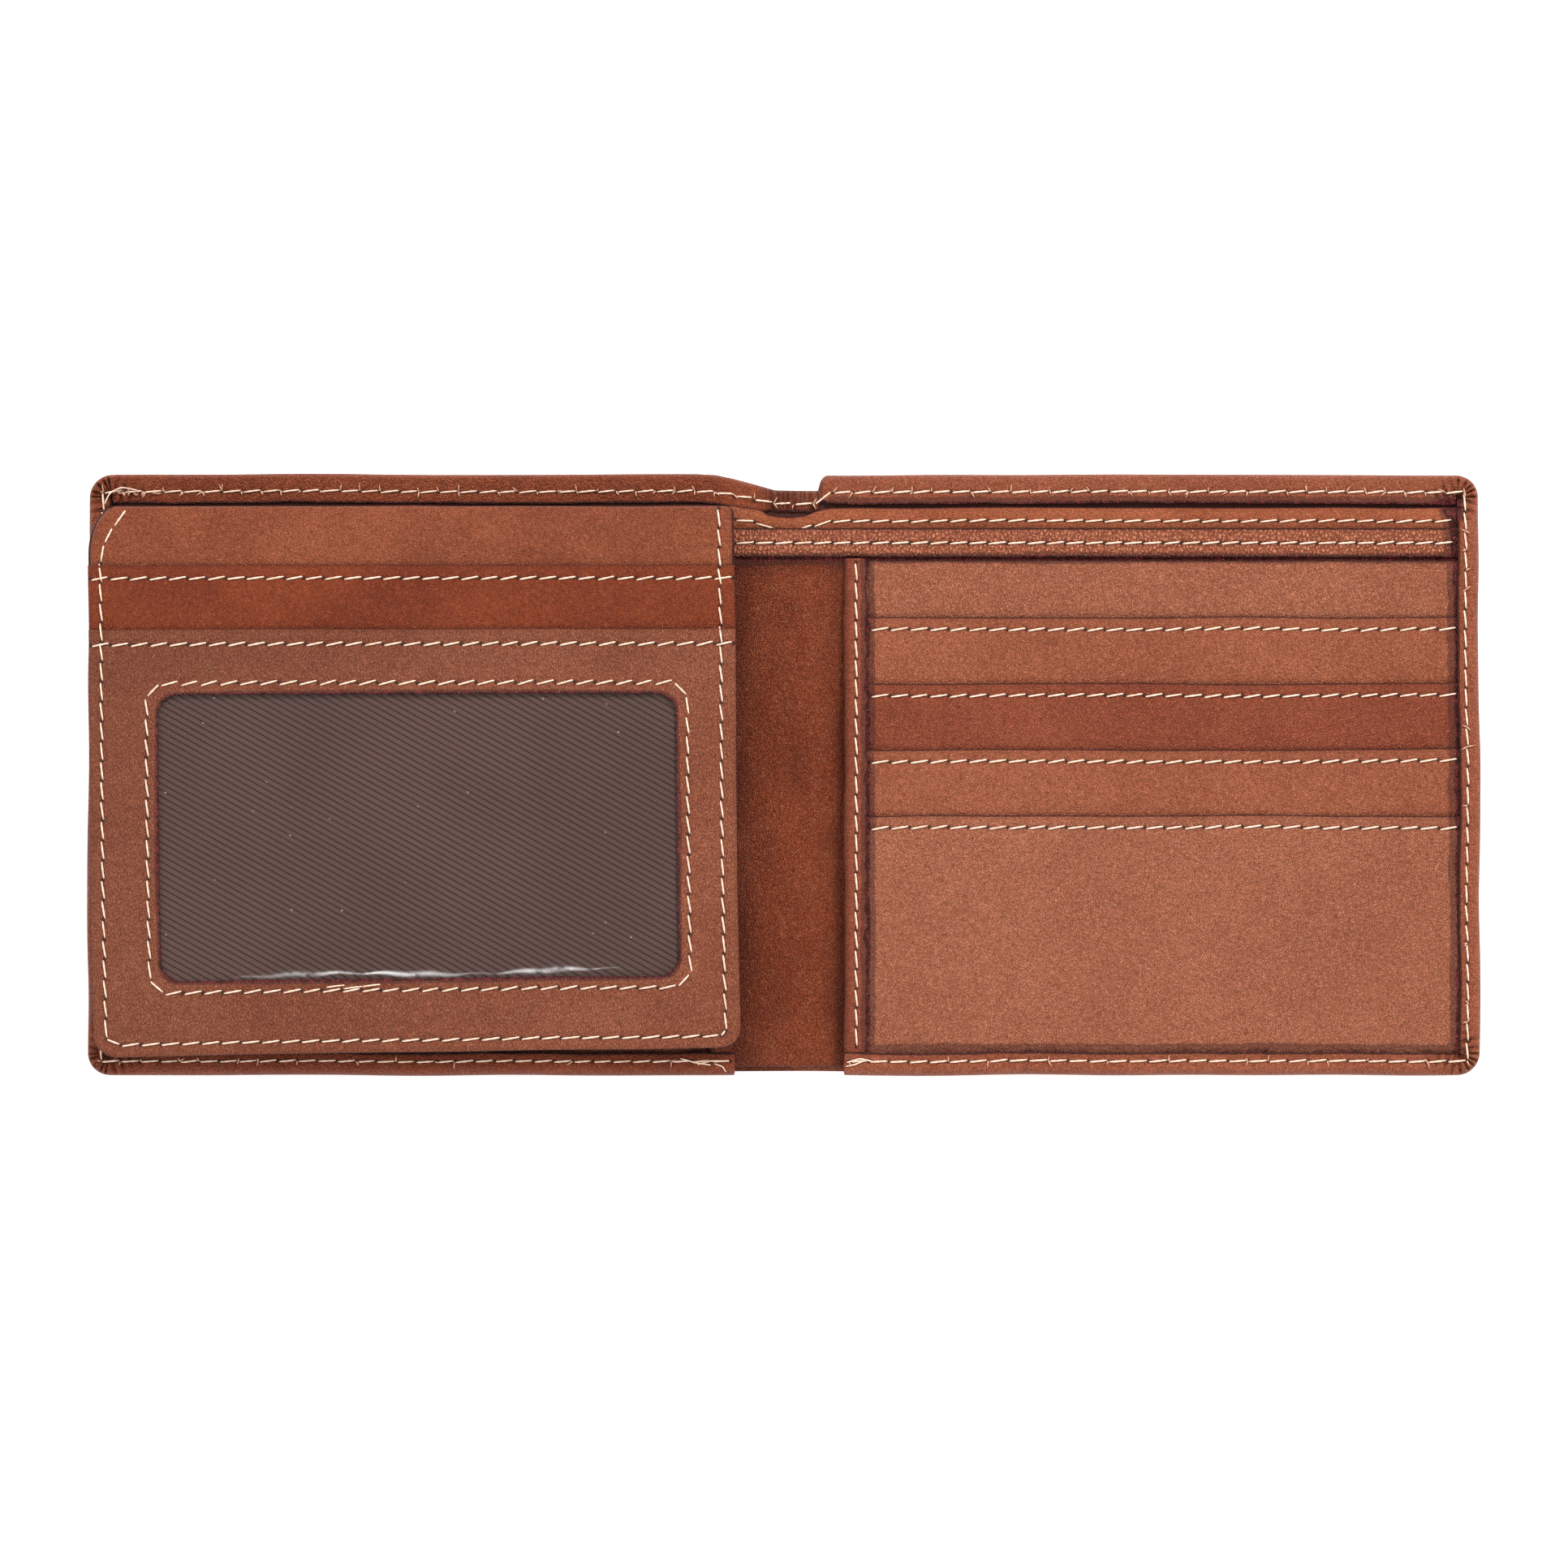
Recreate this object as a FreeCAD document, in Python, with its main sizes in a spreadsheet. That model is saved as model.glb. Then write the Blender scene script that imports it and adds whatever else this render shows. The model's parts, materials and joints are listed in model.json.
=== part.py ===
import FreeCAD, Part
import math
import os
import types
import Sketcher

# Bifold wallet, lying open and flat. An outer cover with turned hems holds two bill compartments, and
# a panel of stepped card slots on each half. A flap, which turns like a page on the spine side of the
# left panel, carries one more card slot and a windowed pocket.
#
# Millimetres. The origin lies on the surface under the wallet, below the middle of the open outline.
# +X runs to the right half, +Y to the open top edge of the bill compartments, +Z up.

DIMENSIONS = {
    # open outline
    "half_width": 106.5,
    "half_depth": 46.0,
    "corner_radius": 3.4,
    # the foot hem stops at the spine, which bends at two fold lines
    "spine_left": 7.6,
    "spine_right": 9.2,
    "fold_left": 5.0,
    "fold_right": 7.9,
    # the dip in the top edge at the spine
    "dip_start": 11.9,
    "dip_shoulder": 44.7,
    "dip_left": 1.4,
    "dip_right": 5.6,
    "dip_top": 43.6,
    "dip_step": 6.9,
    "spine_foot": 45.6,
    # turned hems
    "side_hem": 3.3,
    "foot_hem": 3.5,
    "top_hem": 4.1,
    "turn_wall": 1.1,
    "hem_leather": 0.5,
    # sheet thicknesses and the air between sheets
    "cover_leather": 1.0,
    "lining_cloth": 0.2,
    "bill_gap": 0.2,
    "divider_cloth": 0.2,
    "trim_leather": 0.5,
    "wall_gap": 0.15,
    "wall_leather": 0.5,
    "panel_leather": 0.5,
    "slot_leather": 0.5,
    "slot_cloth": 0.12,
    "slot_step": 0.6,
    "hairline": 0.05,
    # bill divider and inner wall
    "divider_top": 40.8,
    "divider_sag": 39.6,
    "divider_trim_depth": 9.5,
    "wall_top": 37.8,
    "wall_trim_foot": 33.3,
    # card panels
    "panel_top": 32.8,
    "left_panel_edge": 8.0,
    "slot_top": 24.1,
    "slot_pitch": 10.13,
    "slot_tuck": 8.0,
    "binding_width": 3.5,
    "binding_leather": 0.5,
    # flap
    "flap_left": 106.3,
    "flap_right": 7.7,
    "flap_top": 40.9,
    "flap_foot": 43.1,
    "flap_lean": 1.1,
    "flap_rise": 1.5,
    "strip_gauge": 0.4,
    "flap_back_leather": 0.7,
    "flap_row_inset": 0.5,
    "flap_slot_top": 31.9,
    "flap_slot_foot": 15.2,
    "window_leaf_top": 22.1,
    "flap_radius": 4.6,
    "flap_foot_radius": 3.5,
    "flap_hinge_radius": 1.0,
    "strip_width": 11.0,
    # window in the flap's lower pocket
    "window_left": 95.8,
    "window_right": 16.9,
    "window_top": 12.1,
    "window_foot": 31.7,
    "window_radius": 2.7,
    "window_land": 1.6,
    "film": 0.12,
    # thread
    "thread_width": 0.5,
    "thread_height": 0.25,
    "hem_seam_top": 43.5,
    "hem_seam_foot": 43.7,
    "hem_seam_side": 104.4,
    "divider_seam": 38.6,
    "wall_seam": 35.5,
    "slot_seam": 2.0,
    "binding_seam": 1.8,
    "flap_seam": 1.9,
    "flap_slot_seam": 2.1,
}
SLOTS = 4
# two points closer than this are the same point
FLUSH = 1e-3

doc = FreeCAD.newDocument("bifold_wallet")
sheet = doc.addObject("Spreadsheet::Sheet", "Dims")
for row, (alias, number) in enumerate(DIMENSIONS.items(), 1):
    sheet.set(f"A{row}", alias)
    sheet.set(f"B{row}", str(number))
    sheet.setAlias(f"B{row}", alias)
doc.recompute()


class Size:
    """A number together with the sheet expression that gives it."""

    def __init__(self, number, text):
        self.number = number
        self.text = text

    def joined(self, other, sign, number):
        other_text = other.text if isinstance(other, Size) else repr(other)
        return Size(number, f"({self.text} {sign} {other_text})")

    def __add__(self, other):
        return self.joined(other, "+", self.number + plain(other))

    def __sub__(self, other):
        return self.joined(other, "-", self.number - plain(other))

    def __mul__(self, other):
        return self.joined(other, "*", self.number * plain(other))

    def __truediv__(self, other):
        return self.joined(other, "/", self.number / plain(other))

    def __neg__(self):
        return self * -1


def plain(value):
    return value.number if isinstance(value, Size) else value


d = types.SimpleNamespace(**{a: Size(n, f"Dims.{a}") for a, n in DIMENSIONS.items()})
sub_parts = []


def keep(piece, label):
    """Lists an object as one of the wallet's pieces; its label names its file."""
    piece.Label = label
    sub_parts.append(piece)
    return piece


# ---- levels of the stack, from the cover up ----

lining_level = d.cover_leather
divider_level = lining_level + d.lining_cloth + d.bill_gap
divider_trim_level = divider_level + d.divider_cloth
wall_level = divider_trim_level + d.trim_leather + d.wall_gap
wall_trim_level = wall_level + d.wall_leather
panel_level = wall_trim_level + d.hairline
first_slot_level = panel_level + d.panel_leather + d.hairline
slots_top_level = first_slot_level + d.slot_step * (SLOTS - 1) + d.slot_leather + d.hairline
top_hem_level = lining_level + d.lining_cloth
hem_top_level = slots_top_level + d.hem_leather
strip_level = hem_top_level + d.thread_height + d.hairline
flap_level = strip_level + d.strip_gauge
flap_row_level = flap_level + d.flap_back_leather
flap_slot_level = flap_row_level + d.panel_leather + d.hairline
id_back_level = flap_slot_level + d.slot_cloth + d.hairline
window_leaf_level = flap_slot_level + d.slot_leather + d.hairline
film_level = window_leaf_level - d.film - d.hairline

# ---- building blocks ----


def new_body(label, level=None):
    body = doc.addObject("PartDesign::Body", label)
    if level is not None:
        body.setExpression("Placement.Base.z", level.text)
    return body


def outline(body, name, loops, plane="XY_Plane", offset=None):
    """A sketch of closed loops; every corner is held to the sheet in both directions."""
    sketch = body.newObject("Sketcher::SketchObject", name)
    sketch.AttachmentSupport = [(next(f for f in body.Origin.OriginFeatures if f.Role == plane), "")]
    sketch.MapMode = "FlatFace"
    if offset is not None:
        sketch.setExpression("AttachmentOffset.Base.z", offset.text)
    for corners in loops:
        first = sketch.GeometryCount
        places = [FreeCAD.Vector(a.number, b.number, 0) for a, b in corners]
        for start, end in zip(places, places[1:] + places[:1]):
            sketch.addGeometry(Part.LineSegment(start, end))
        for n, (a, b) in enumerate(corners):
            line, following = first + n, first + (n + 1) % len(corners)
            sketch.addConstraint(Sketcher.Constraint("Coincident", line, 2, following, 1))
            for kind, size in (("DistanceX", a), ("DistanceY", b)):
                held = sketch.addConstraint(Sketcher.Constraint(kind, -1, 1, line, 1, size.number))
                sketch.setExpression(f"Constraints[{held}]", size.text)
    return sketch


def pad(body, name, loops, thickness, plane="XY_Plane", offset=None):
    feature = body.newObject("PartDesign::Pad", name)
    feature.Profile = outline(body, name + "_outline", loops, plane, offset)
    feature.setExpression("Length", thickness.text)
    return feature


def round_upright(body, corners, radius, name="rounding"):
    """Rounds the upright edges of a body that stand at the given corners."""
    doc.recompute()
    solid = body.Tip
    places = [FreeCAD.Vector(a.number, b.number, 0) for a, b in corners]
    names = []
    for n, edge in enumerate(solid.Shape.Edges, 1):
        low, high = edge.Vertexes[0].Point, edge.Vertexes[-1].Point
        flat = FreeCAD.Vector(low.x, low.y, 0)
        upright = math.hypot(low.x - high.x, low.y - high.y) < FLUSH
        if upright and any(flat.distanceToPoint(place) < FLUSH for place in places):
            names.append(f"Edge{n}")
    if not names:
        raise SystemExit(f"{body.Name}: no upright edge to round")
    fillet = body.newObject("PartDesign::Fillet", name)
    fillet.Base = (solid, names)
    fillet.setExpression("Radius", radius.text)


def rectangle(x0, x1, y0, y1):
    return [(x0, y0), (x1, y0), (x1, y1), (x0, y1)]


def plate(label, corners, level, thickness, rounded=(), radius=None):
    """A flat sheet of leather or cloth, cut to an outline."""
    body = new_body(label, level)
    pad(body, "sheet", [corners], thickness)
    if rounded:
        round_upright(body, rounded, radius)
    return keep(body, label)


def stitch_run(name, start, end, level):
    """A straight run of thread, as one bar that lies on the leather."""
    bar = doc.addObject("Part::Box", name)
    across, along = end[0] - start[0], end[1] - start[1]
    bar.Placement.Rotation = FreeCAD.Rotation(FreeCAD.Vector(0, 0, 1), 1)
    bar.setExpression("Length", f"hypot({across.text}; {along.text})")
    bar.setExpression("Width", d.thread_width.text)
    bar.setExpression("Height", d.thread_height.text)
    bar.setExpression("Placement.Base.x", start[0].text)
    bar.setExpression("Placement.Base.y", start[1].text)
    bar.setExpression("Placement.Base.z", level.text)
    bar.setExpression("Placement.Rotation.Angle", f"atan2({along.text}; {across.text})")
    return bar


def group(label, pieces):
    """Separate runs of thread that make one piece of the record."""
    compound = doc.addObject("Part::Compound", label)
    compound.Links = pieces
    return keep(compound, label)


# ---- outer cover, lining, bill divider and inner wall: one of each on both halves and the spine ----


def stack_slope(foot, top):
    """The line, in Y and Z, just above the stepped card slots from the foot edge up to the trims."""
    last_slot = d.slot_top - d.slot_pitch * (SLOTS - 1)
    first_slot_top = first_slot_level + d.slot_leather + d.hairline
    base_top = first_slot_level + d.hairline
    line = [
        (foot, slots_top_level),
        (last_slot, slots_top_level),
        (d.slot_top, first_slot_top),
        (d.panel_top, base_top),
    ]
    if top is None:
        return line
    return line + [
        (d.wall_top, wall_trim_level + d.trim_leather + d.hairline),
        (d.divider_top + d.hairline * 2, divider_trim_level + d.trim_leather + d.hairline),
        (d.half_depth - d.top_hem, top_hem_level),
        (top, top_hem_level),
    ]


def raised(line, height):
    return [(y, z + height) for y, z in line]


def band(low, high):
    """A closed outline between a line and the same line higher up."""
    return low + high[::-1]


class Half:
    """Where one half of the wallet starts at the spine and ends at its side."""

    def __init__(self, name, side, fold, hem_end, panel_edge):
        self.name = name
        self.side = side
        self.fold = fold * side
        self.hem_end = hem_end * side
        self.outer = d.half_width * side
        self.inside = (d.half_width - d.turn_wall - d.hairline) * side
        self.panel_edge = panel_edge * side

    def across(self, narrow):
        """The lower X and the width of a strip inside the side edge."""
        return self.outer - narrow if self.side > 0 else self.outer


LEFT = Half("left", -1, d.fold_left, d.spine_left, d.left_panel_edge)
RIGHT = Half("right", 1, d.fold_right, d.spine_right, d.spine_right)
inside_foot = d.half_depth - d.turn_wall - d.hairline


def outer_cover(half):
    """The cover's leather, turned over the sheets at the side and the foot, and over the lining at the
    top."""
    label = f"outer_cover_{half.name}"
    body = new_body(label)
    top, foot = d.half_depth, -d.half_depth
    top_edge = [(half.outer, top), (half.fold, top)]
    if half.side < 0:
        top_edge[1:] = [(-d.dip_start, top), (half.fold, d.dip_shoulder)]
    step = [(half.fold, -d.spine_foot), (half.hem_end, -d.spine_foot), (half.hem_end, foot)]
    pad(body, "cover", [step + [(half.outer, foot)] + top_edge], d.cover_leather)
    low = stack_slope(foot, top)
    wall = band([(foot, lining_level), (top, lining_level)], raised(low, d.hem_leather))
    turned = band(low, raised(low, d.hem_leather))
    pad(body, "side_wall", [wall], d.turn_wall, "YZ_Plane", half.across(d.turn_wall))
    pad(body, "side_hem", [turned], d.side_hem, "YZ_Plane", half.across(d.side_hem))
    foot_wall = rectangle(half.hem_end, half.outer, foot, foot + d.turn_wall)
    foot_hem = rectangle(half.hem_end, half.outer, foot, foot + d.foot_hem)
    pad(body, "foot_wall", [foot_wall], hem_top_level - lining_level, offset=lining_level)
    pad(body, "foot_hem", [foot_hem], d.hem_leather, offset=slots_top_level)
    top_end = -d.dip_start if half.side < 0 else half.fold
    top_wall = rectangle(top_end, half.outer, top - d.turn_wall, top)
    inner_edge = [(half.fold, top - d.top_hem), (half.outer, top - d.top_hem)]
    top_hem = inner_edge + top_edge
    pad(body, "top_wall", [top_wall], d.lining_cloth, offset=lining_level)
    pad(body, "top_hem", [top_hem], d.hem_leather, offset=top_hem_level)
    round_upright(body, [(half.outer, foot), (half.outer, top)], d.corner_radius)
    return keep(body, label)


def half_sheets(half):
    """The sheets between the cover and the card panel, on one half."""
    start, end = half.fold, half.inside
    top = d.half_depth - d.turn_wall - d.hairline
    lining = rectangle(start, end, -inside_foot, top)
    if half.side < 0:
        lining[3:] = [(-d.dip_start, top), (start, d.dip_shoulder - d.turn_wall)]
    plate(f"bill_lining_{half.name}", lining, lining_level, d.lining_cloth)
    divider = rectangle(start, end, -inside_foot, d.divider_top - d.hairline)
    plate(f"divider_sheet_{half.name}", divider, divider_level, d.divider_cloth)
    trim_foot = d.divider_top - d.divider_trim_depth
    trim = rectangle(start, end, trim_foot, d.divider_top)
    plate(f"divider_trim_{half.name}", trim, divider_trim_level, d.trim_leather)
    wall = rectangle(start, end, -inside_foot, d.wall_top)
    plate(f"inner_wall_{half.name}", wall, wall_level, d.wall_leather)
    wall_trim = rectangle(start, end, d.wall_trim_foot, d.wall_top)
    plate(f"inner_wall_trim_{half.name}", wall_trim, wall_trim_level, d.trim_leather)


def spine_sheets():
    """The same sheets where they cross the spine, which is the wallet's living hinge."""
    left, right, foot = -d.fold_left, d.fold_right, -d.spine_foot
    dip = [
        (right, d.half_depth),
        (d.dip_step, d.half_depth),
        (d.dip_right, d.dip_top),
        (-d.dip_left, d.dip_top),
        (left, d.dip_shoulder),
    ]
    cover = new_body("outer_cover_spine")
    pad(cover, "cover", [[(left, foot), (right, foot)] + dip], d.cover_leather)
    keep(cover, "outer_cover_spine")
    top = d.dip_top - d.turn_wall
    plate("bill_lining_spine", rectangle(left, right, -inside_foot, top), lining_level, d.lining_cloth)
    sag = [(right, d.divider_top), (d.dip_left, d.divider_sag), (left, d.divider_top)]
    divider = rectangle(left, right, -inside_foot, d.divider_sag)
    plate("divider_sheet_spine", divider, divider_level, d.divider_cloth)
    trim_foot = d.divider_top - d.divider_trim_depth
    trim = [(left, trim_foot), (right, trim_foot)] + sag
    plate("divider_trim_spine", trim, divider_trim_level, d.trim_leather)
    wall = rectangle(left, right, foot, d.wall_top)
    plate("inner_wall_spine", wall, wall_level, d.wall_leather)
    wall_trim = rectangle(left, right, d.wall_trim_foot, d.wall_top)
    plate("inner_wall_trim_spine", wall_trim, wall_trim_level, d.trim_leather)


# ---- card panels ----


def slot_top(n):
    return d.slot_top - d.slot_pitch * n


def card_panel(half):
    """The panel's base with its stepped slot leaves; each leaf but the last ends in a cloth tail that
    reaches the foot and makes the back of the next slot."""
    start = half.panel_edge + (d.binding_leather + d.hairline * 2) * half.side
    end = half.inside
    base = rectangle(start, end, -inside_foot, d.panel_top)
    plate(f"{half.name}_panel_base", base, panel_level, d.panel_leather)
    for n in range(SLOTS):
        level = first_slot_level + d.slot_step * n
        last = n == SLOTS - 1
        foot = -inside_foot if last else slot_top(n + 1) - d.slot_tuck
        leaf = rectangle(start, end, foot, slot_top(n))
        plate(f"{half.name}_slot_leaf_{n + 1}", leaf, level, d.slot_leather)
        if not last:
            tail = rectangle(start, end, -inside_foot, foot)
            plate(f"{half.name}_slot_tail_{n + 1}", tail, level, d.slot_cloth)


def panel_binding(half):
    """The strip that is folded round the panel's edge at the spine."""
    label = f"{half.name}_panel_binding"
    body = new_body(label)
    foot = -d.half_depth + d.foot_hem + d.hairline * 2
    low = stack_slope(foot, None)
    wall = band([(foot, panel_level), (d.panel_top, panel_level)], raised(low, d.binding_leather))
    fold = band(low, raised(low, d.binding_leather))
    edge = half.panel_edge
    wall_x = edge if half.side > 0 else edge - d.binding_leather
    fold_x = edge if half.side > 0 else edge - d.binding_width
    pad(body, "edge_wall", [wall], d.binding_leather, "YZ_Plane", wall_x)
    pad(body, "fold", [fold], d.binding_width, "YZ_Plane", fold_x)
    return keep(body, label)


# ---- seams ----


def sloped_seam(name, x, line):
    """A run of thread along Y that follows the slope of the leather under it."""
    body = new_body(name)
    bar = band(line, raised(line, d.thread_height))
    pad(body, "bar", [bar], d.thread_width, "YZ_Plane", x - d.thread_width / 2)
    return body


def half_seams(half):
    """The threads of one half: hem, trims, slot leaves and binding."""
    name = half.name
    near_foot, near_top, side = half.hem_end, half.fold, d.hem_seam_side * half.side
    if half.side < 0:
        near_top = -d.dip_start
    ends = (side, near_foot) if half.side < 0 else (near_foot, side)
    top_ends = (side, near_top) if half.side < 0 else (near_top, side)
    foot_y = -d.hem_seam_foot - d.thread_width / 2
    top_y = d.hem_seam_top - d.thread_width / 2
    side_line = raised(stack_slope(-d.hem_seam_foot + d.thread_width, None), d.hem_leather)
    group(
        f"hem_thread_{name}",
        [
            sloped_seam(f"side_seam_{name}", side, side_line),
            stitch_run(f"foot_seam_{name}", (ends[0], foot_y), (ends[1], foot_y), hem_top_level),
            stitch_run(
                f"top_seam_{name}",
                (top_ends[0], top_y),
                (top_ends[1], top_y),
                top_hem_level + d.hem_leather,
            ),
        ],
    )
    inset = d.side_hem + d.thread_width
    inner = side + inset if half.side < 0 else half.fold
    outer = half.fold if half.side < 0 else side - inset
    trims = []
    for kind, y, level in (
        ("divider", d.divider_seam, divider_trim_level),
        ("wall", d.wall_seam, wall_trim_level),
    ):
        run = ((inner, y), (outer, y), level + d.trim_leather)
        trims.append(stitch_run(f"{kind}_seam_{name}", *run))
    group(f"trim_thread_{name}", trims)
    clear = d.binding_width + d.thread_width
    near = half.panel_edge + clear * half.side
    far = half.outer - inset * half.side
    left, right = (far, near) if half.side < 0 else (near, far)
    rows = []
    for n in range(SLOTS):
        y = slot_top(n) - d.slot_seam
        level = first_slot_level + d.slot_step * n + d.slot_leather
        rows.append(stitch_run(f"{name}_slot_seam_{n + 1}", (left, y), (right, y), level))
    group(f"{name}_slot_thread", rows)
    line = raised(stack_slope(-d.half_depth + d.foot_hem + d.thread_width, None), d.binding_leather)
    seam = sloped_seam(f"{name}_binding_thread", half.panel_edge + d.binding_seam * half.side, line)
    keep(seam, f"{name}_binding_thread")


def spine_seams():
    """The trims' and the top hem's threads where they cross the spine."""
    left, right = -d.fold_left, d.fold_right
    runs = (
        ("top", d.divider_top + d.thread_width, d.cover_leather + d.lining_cloth),
        ("divider", d.divider_seam - d.thread_width, divider_trim_level + d.trim_leather),
        ("wall", d.wall_seam, wall_trim_level + d.trim_leather),
    )
    pieces = [stitch_run(f"{kind}_seam_spine", (left, y), (right, y), z) for kind, y, z in runs]
    group("trim_thread_spine", pieces)


# ---- flap ----


def flap_x(edge, y, inset=None):
    """The X of the flap's left or right edge at a height Y: the flap leans to the right at its foot."""
    x = edge + d.flap_lean * ((d.flap_top - y) / (d.flap_top + d.flap_foot))
    return x if inset is None else x + inset


def flap_foot(inset, side):
    """The Y of the flap's foot at its left (-1) or right (+1) end."""
    low = -d.flap_foot + inset
    return low if side < 0 else low + d.flap_rise


def flap_layer(label, level, thickness, top, foot=None, inset=None, rounded=True):
    """One layer of the flap: a quad between its leaning edges."""
    gap = d.hairline if inset is None else inset
    low_left = flap_foot(gap, -1) if foot is None else foot
    low_right = flap_foot(gap, 1) if foot is None else foot
    corners = [
        (flap_x(-d.flap_left, low_left, gap), low_left),
        (flap_x(-d.flap_right, low_right, -gap), low_right),
        (flap_x(-d.flap_right, top, -gap), top),
        (flap_x(-d.flap_left, top, gap), top),
    ]
    body = new_body(label, level)
    pad(body, "sheet", [corners], thickness)
    if rounded and foot is None:
        round_upright(body, corners[:2], d.flap_foot_radius, "foot_rounding")
    if rounded and top is d.flap_top:
        round_upright(body, corners[2:3], d.flap_hinge_radius, "hinge_rounding")
        round_upright(body, corners[3:], d.flap_radius, "top_rounding")
    return keep(body, label)


def window_leaf():
    """The flap's lower pocket: a leaf with a round-cornered window."""
    label = "flap_window_leaf"
    body = new_body(label, window_leaf_level)
    low_left, low_right, top = flap_foot(d.hairline, -1), flap_foot(d.hairline, 1), d.window_leaf_top
    corners = [
        (flap_x(-d.flap_left, low_left), low_left),
        (flap_x(-d.flap_right, low_right), low_right),
        (flap_x(-d.flap_right, top), top),
        (flap_x(-d.flap_left, top), top),
    ]
    opening = rectangle(-d.window_left, -d.window_right, -d.window_foot, d.window_top)
    pad(body, "sheet", [corners, opening], d.slot_leather)
    round_upright(body, corners[:2], d.flap_foot_radius, "foot_rounding")
    round_upright(body, opening, d.window_radius, "window_rounding")
    return keep(body, label)


def id_pocket():
    """The clear film behind the window and the cloth behind the card."""
    side, land = d.window_land, d.window_land * 2
    film = rectangle(
        -d.window_left - land, -d.window_right + land, -d.window_foot - land, d.window_top + side
    )
    plate("id_window_film", film, film_level, d.film)
    plate("id_pocket_backing", film, id_back_level, d.lining_cloth)


def flap_tail():
    """The cloth below the flap's card slot."""
    foot = flap_foot(d.thread_width, -1)
    left = flap_x(-d.flap_left, d.flap_slot_foot, d.flap_lean + d.thread_width)
    right = flap_x(-d.flap_right, d.flap_slot_foot, -d.flap_row_inset)
    tail = rectangle(left, right, foot + d.flap_rise, d.flap_slot_foot)
    plate("flap_slot_tail", tail, flap_slot_level, d.slot_cloth)


def flap_hinge_strip():
    """The leather strip, folded double, that joins the flap's back to the left panel's edge."""
    edge = -d.flap_right - d.hairline
    strip = rectangle(edge - d.strip_width, edge, -d.flap_foot + d.foot_hem, d.panel_top)
    plate("flap_hinge_strip", strip, strip_level, d.strip_gauge)


def flap_seams():
    """The flap's edge seam, its slot seams and the seam round the window."""
    rows = (
        (d.flap_top - d.thread_width, d.flap_slot_top + d.hairline, flap_row_level + d.panel_leather),
        (d.flap_slot_top, d.window_leaf_top + d.hairline, flap_slot_level + d.slot_leather),
        (d.window_leaf_top, flap_foot(d.flap_seam, 1), window_leaf_level + d.slot_leather),
    )
    sides = (("left", -d.flap_left, d.flap_seam, -1), ("right", -d.flap_right, -d.flap_seam, 1))
    edge = []
    for n, (high, low, level) in enumerate(rows, 1):
        for name, side, inset, _ in sides:
            ends = [(flap_x(side, y, inset), y) for y in (low, high)]
            edge.append(stitch_run(f"flap_{name}_seam_{n}", *ends, level))
    face = window_leaf_level + d.slot_leather
    foot = []
    for _, side, inset, end in sides:
        foot.append((flap_x(side, -d.flap_foot, inset), flap_foot(d.flap_seam, end) - d.thread_width))
    edge.append(stitch_run("flap_foot_seam", *foot, face))
    group("flap_edge_thread", edge)
    slots = []
    inset = d.flap_seam + d.thread_width * 2
    for name, top, level in (
        ("upper", d.flap_slot_top, flap_slot_level + d.slot_leather),
        ("lower", d.window_leaf_top, face),
    ):
        y = top - d.flap_slot_seam
        ends = [(flap_x(-d.flap_left, y, inset), y), (flap_x(-d.flap_right, y, -inset), y)]
        slots.append(stitch_run(f"flap_{name}_slot_seam", *ends, level))
    group("flap_slot_thread", slots)
    body = new_body("window_thread", face)
    reach = d.window_land
    loops = []
    for far in (reach, reach - d.thread_width):
        loops.append(
            rectangle(
                -d.window_left - far, -d.window_right + far, -d.window_foot - far, d.window_top + far
            )
        )
    pad(body, "seam", loops, d.thread_height)
    keep(body, "window_thread")


def flap():
    flap_layer("flap_back", flap_level, d.flap_back_leather, d.flap_top)
    flap_layer("flap_base", flap_row_level, d.panel_leather, d.flap_top, inset=d.flap_row_inset)
    flap_layer(
        "flap_slot_leaf", flap_slot_level, d.slot_leather, d.flap_slot_top, d.flap_slot_foot, rounded=False
    )
    flap_tail()
    window_leaf()
    id_pocket()
    flap_hinge_strip()
    flap_seams()


for half in (LEFT, RIGHT):
    outer_cover(half)
    half_sheets(half)
    card_panel(half)
    panel_binding(half)
    half_seams(half)
spine_sheets()
spine_seams()
flap()

doc.recompute()
failed = [f"{o.Name}: {o.State}" for o in doc.Objects if {"Invalid", "Error"} & set(o.State)]
for piece in sub_parts:
    if piece.Shape.isNull() or not piece.Shape.isValid() or not piece.Shape.Solids:
        failed.append(f"{piece.Label}: no valid solid")
if failed:
    raise SystemExit("\n".join(failed))
os.makedirs("parts", exist_ok=True)
for piece in sub_parts:
    piece.Shape.exportStep(f"parts/{piece.Label}.step")
    box = piece.Shape.BoundBox
    print(
        f"{piece.Label:24s} solids {len(piece.Shape.Solids)}  volume {piece.Shape.Volume:9.1f}"
        f"  x {box.XMin:8.2f} {box.XMax:8.2f}  y {box.YMin:7.2f} {box.YMax:7.2f}"
        f"  z {box.ZMin:5.2f} {box.ZMax:5.2f}"
    )
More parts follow.
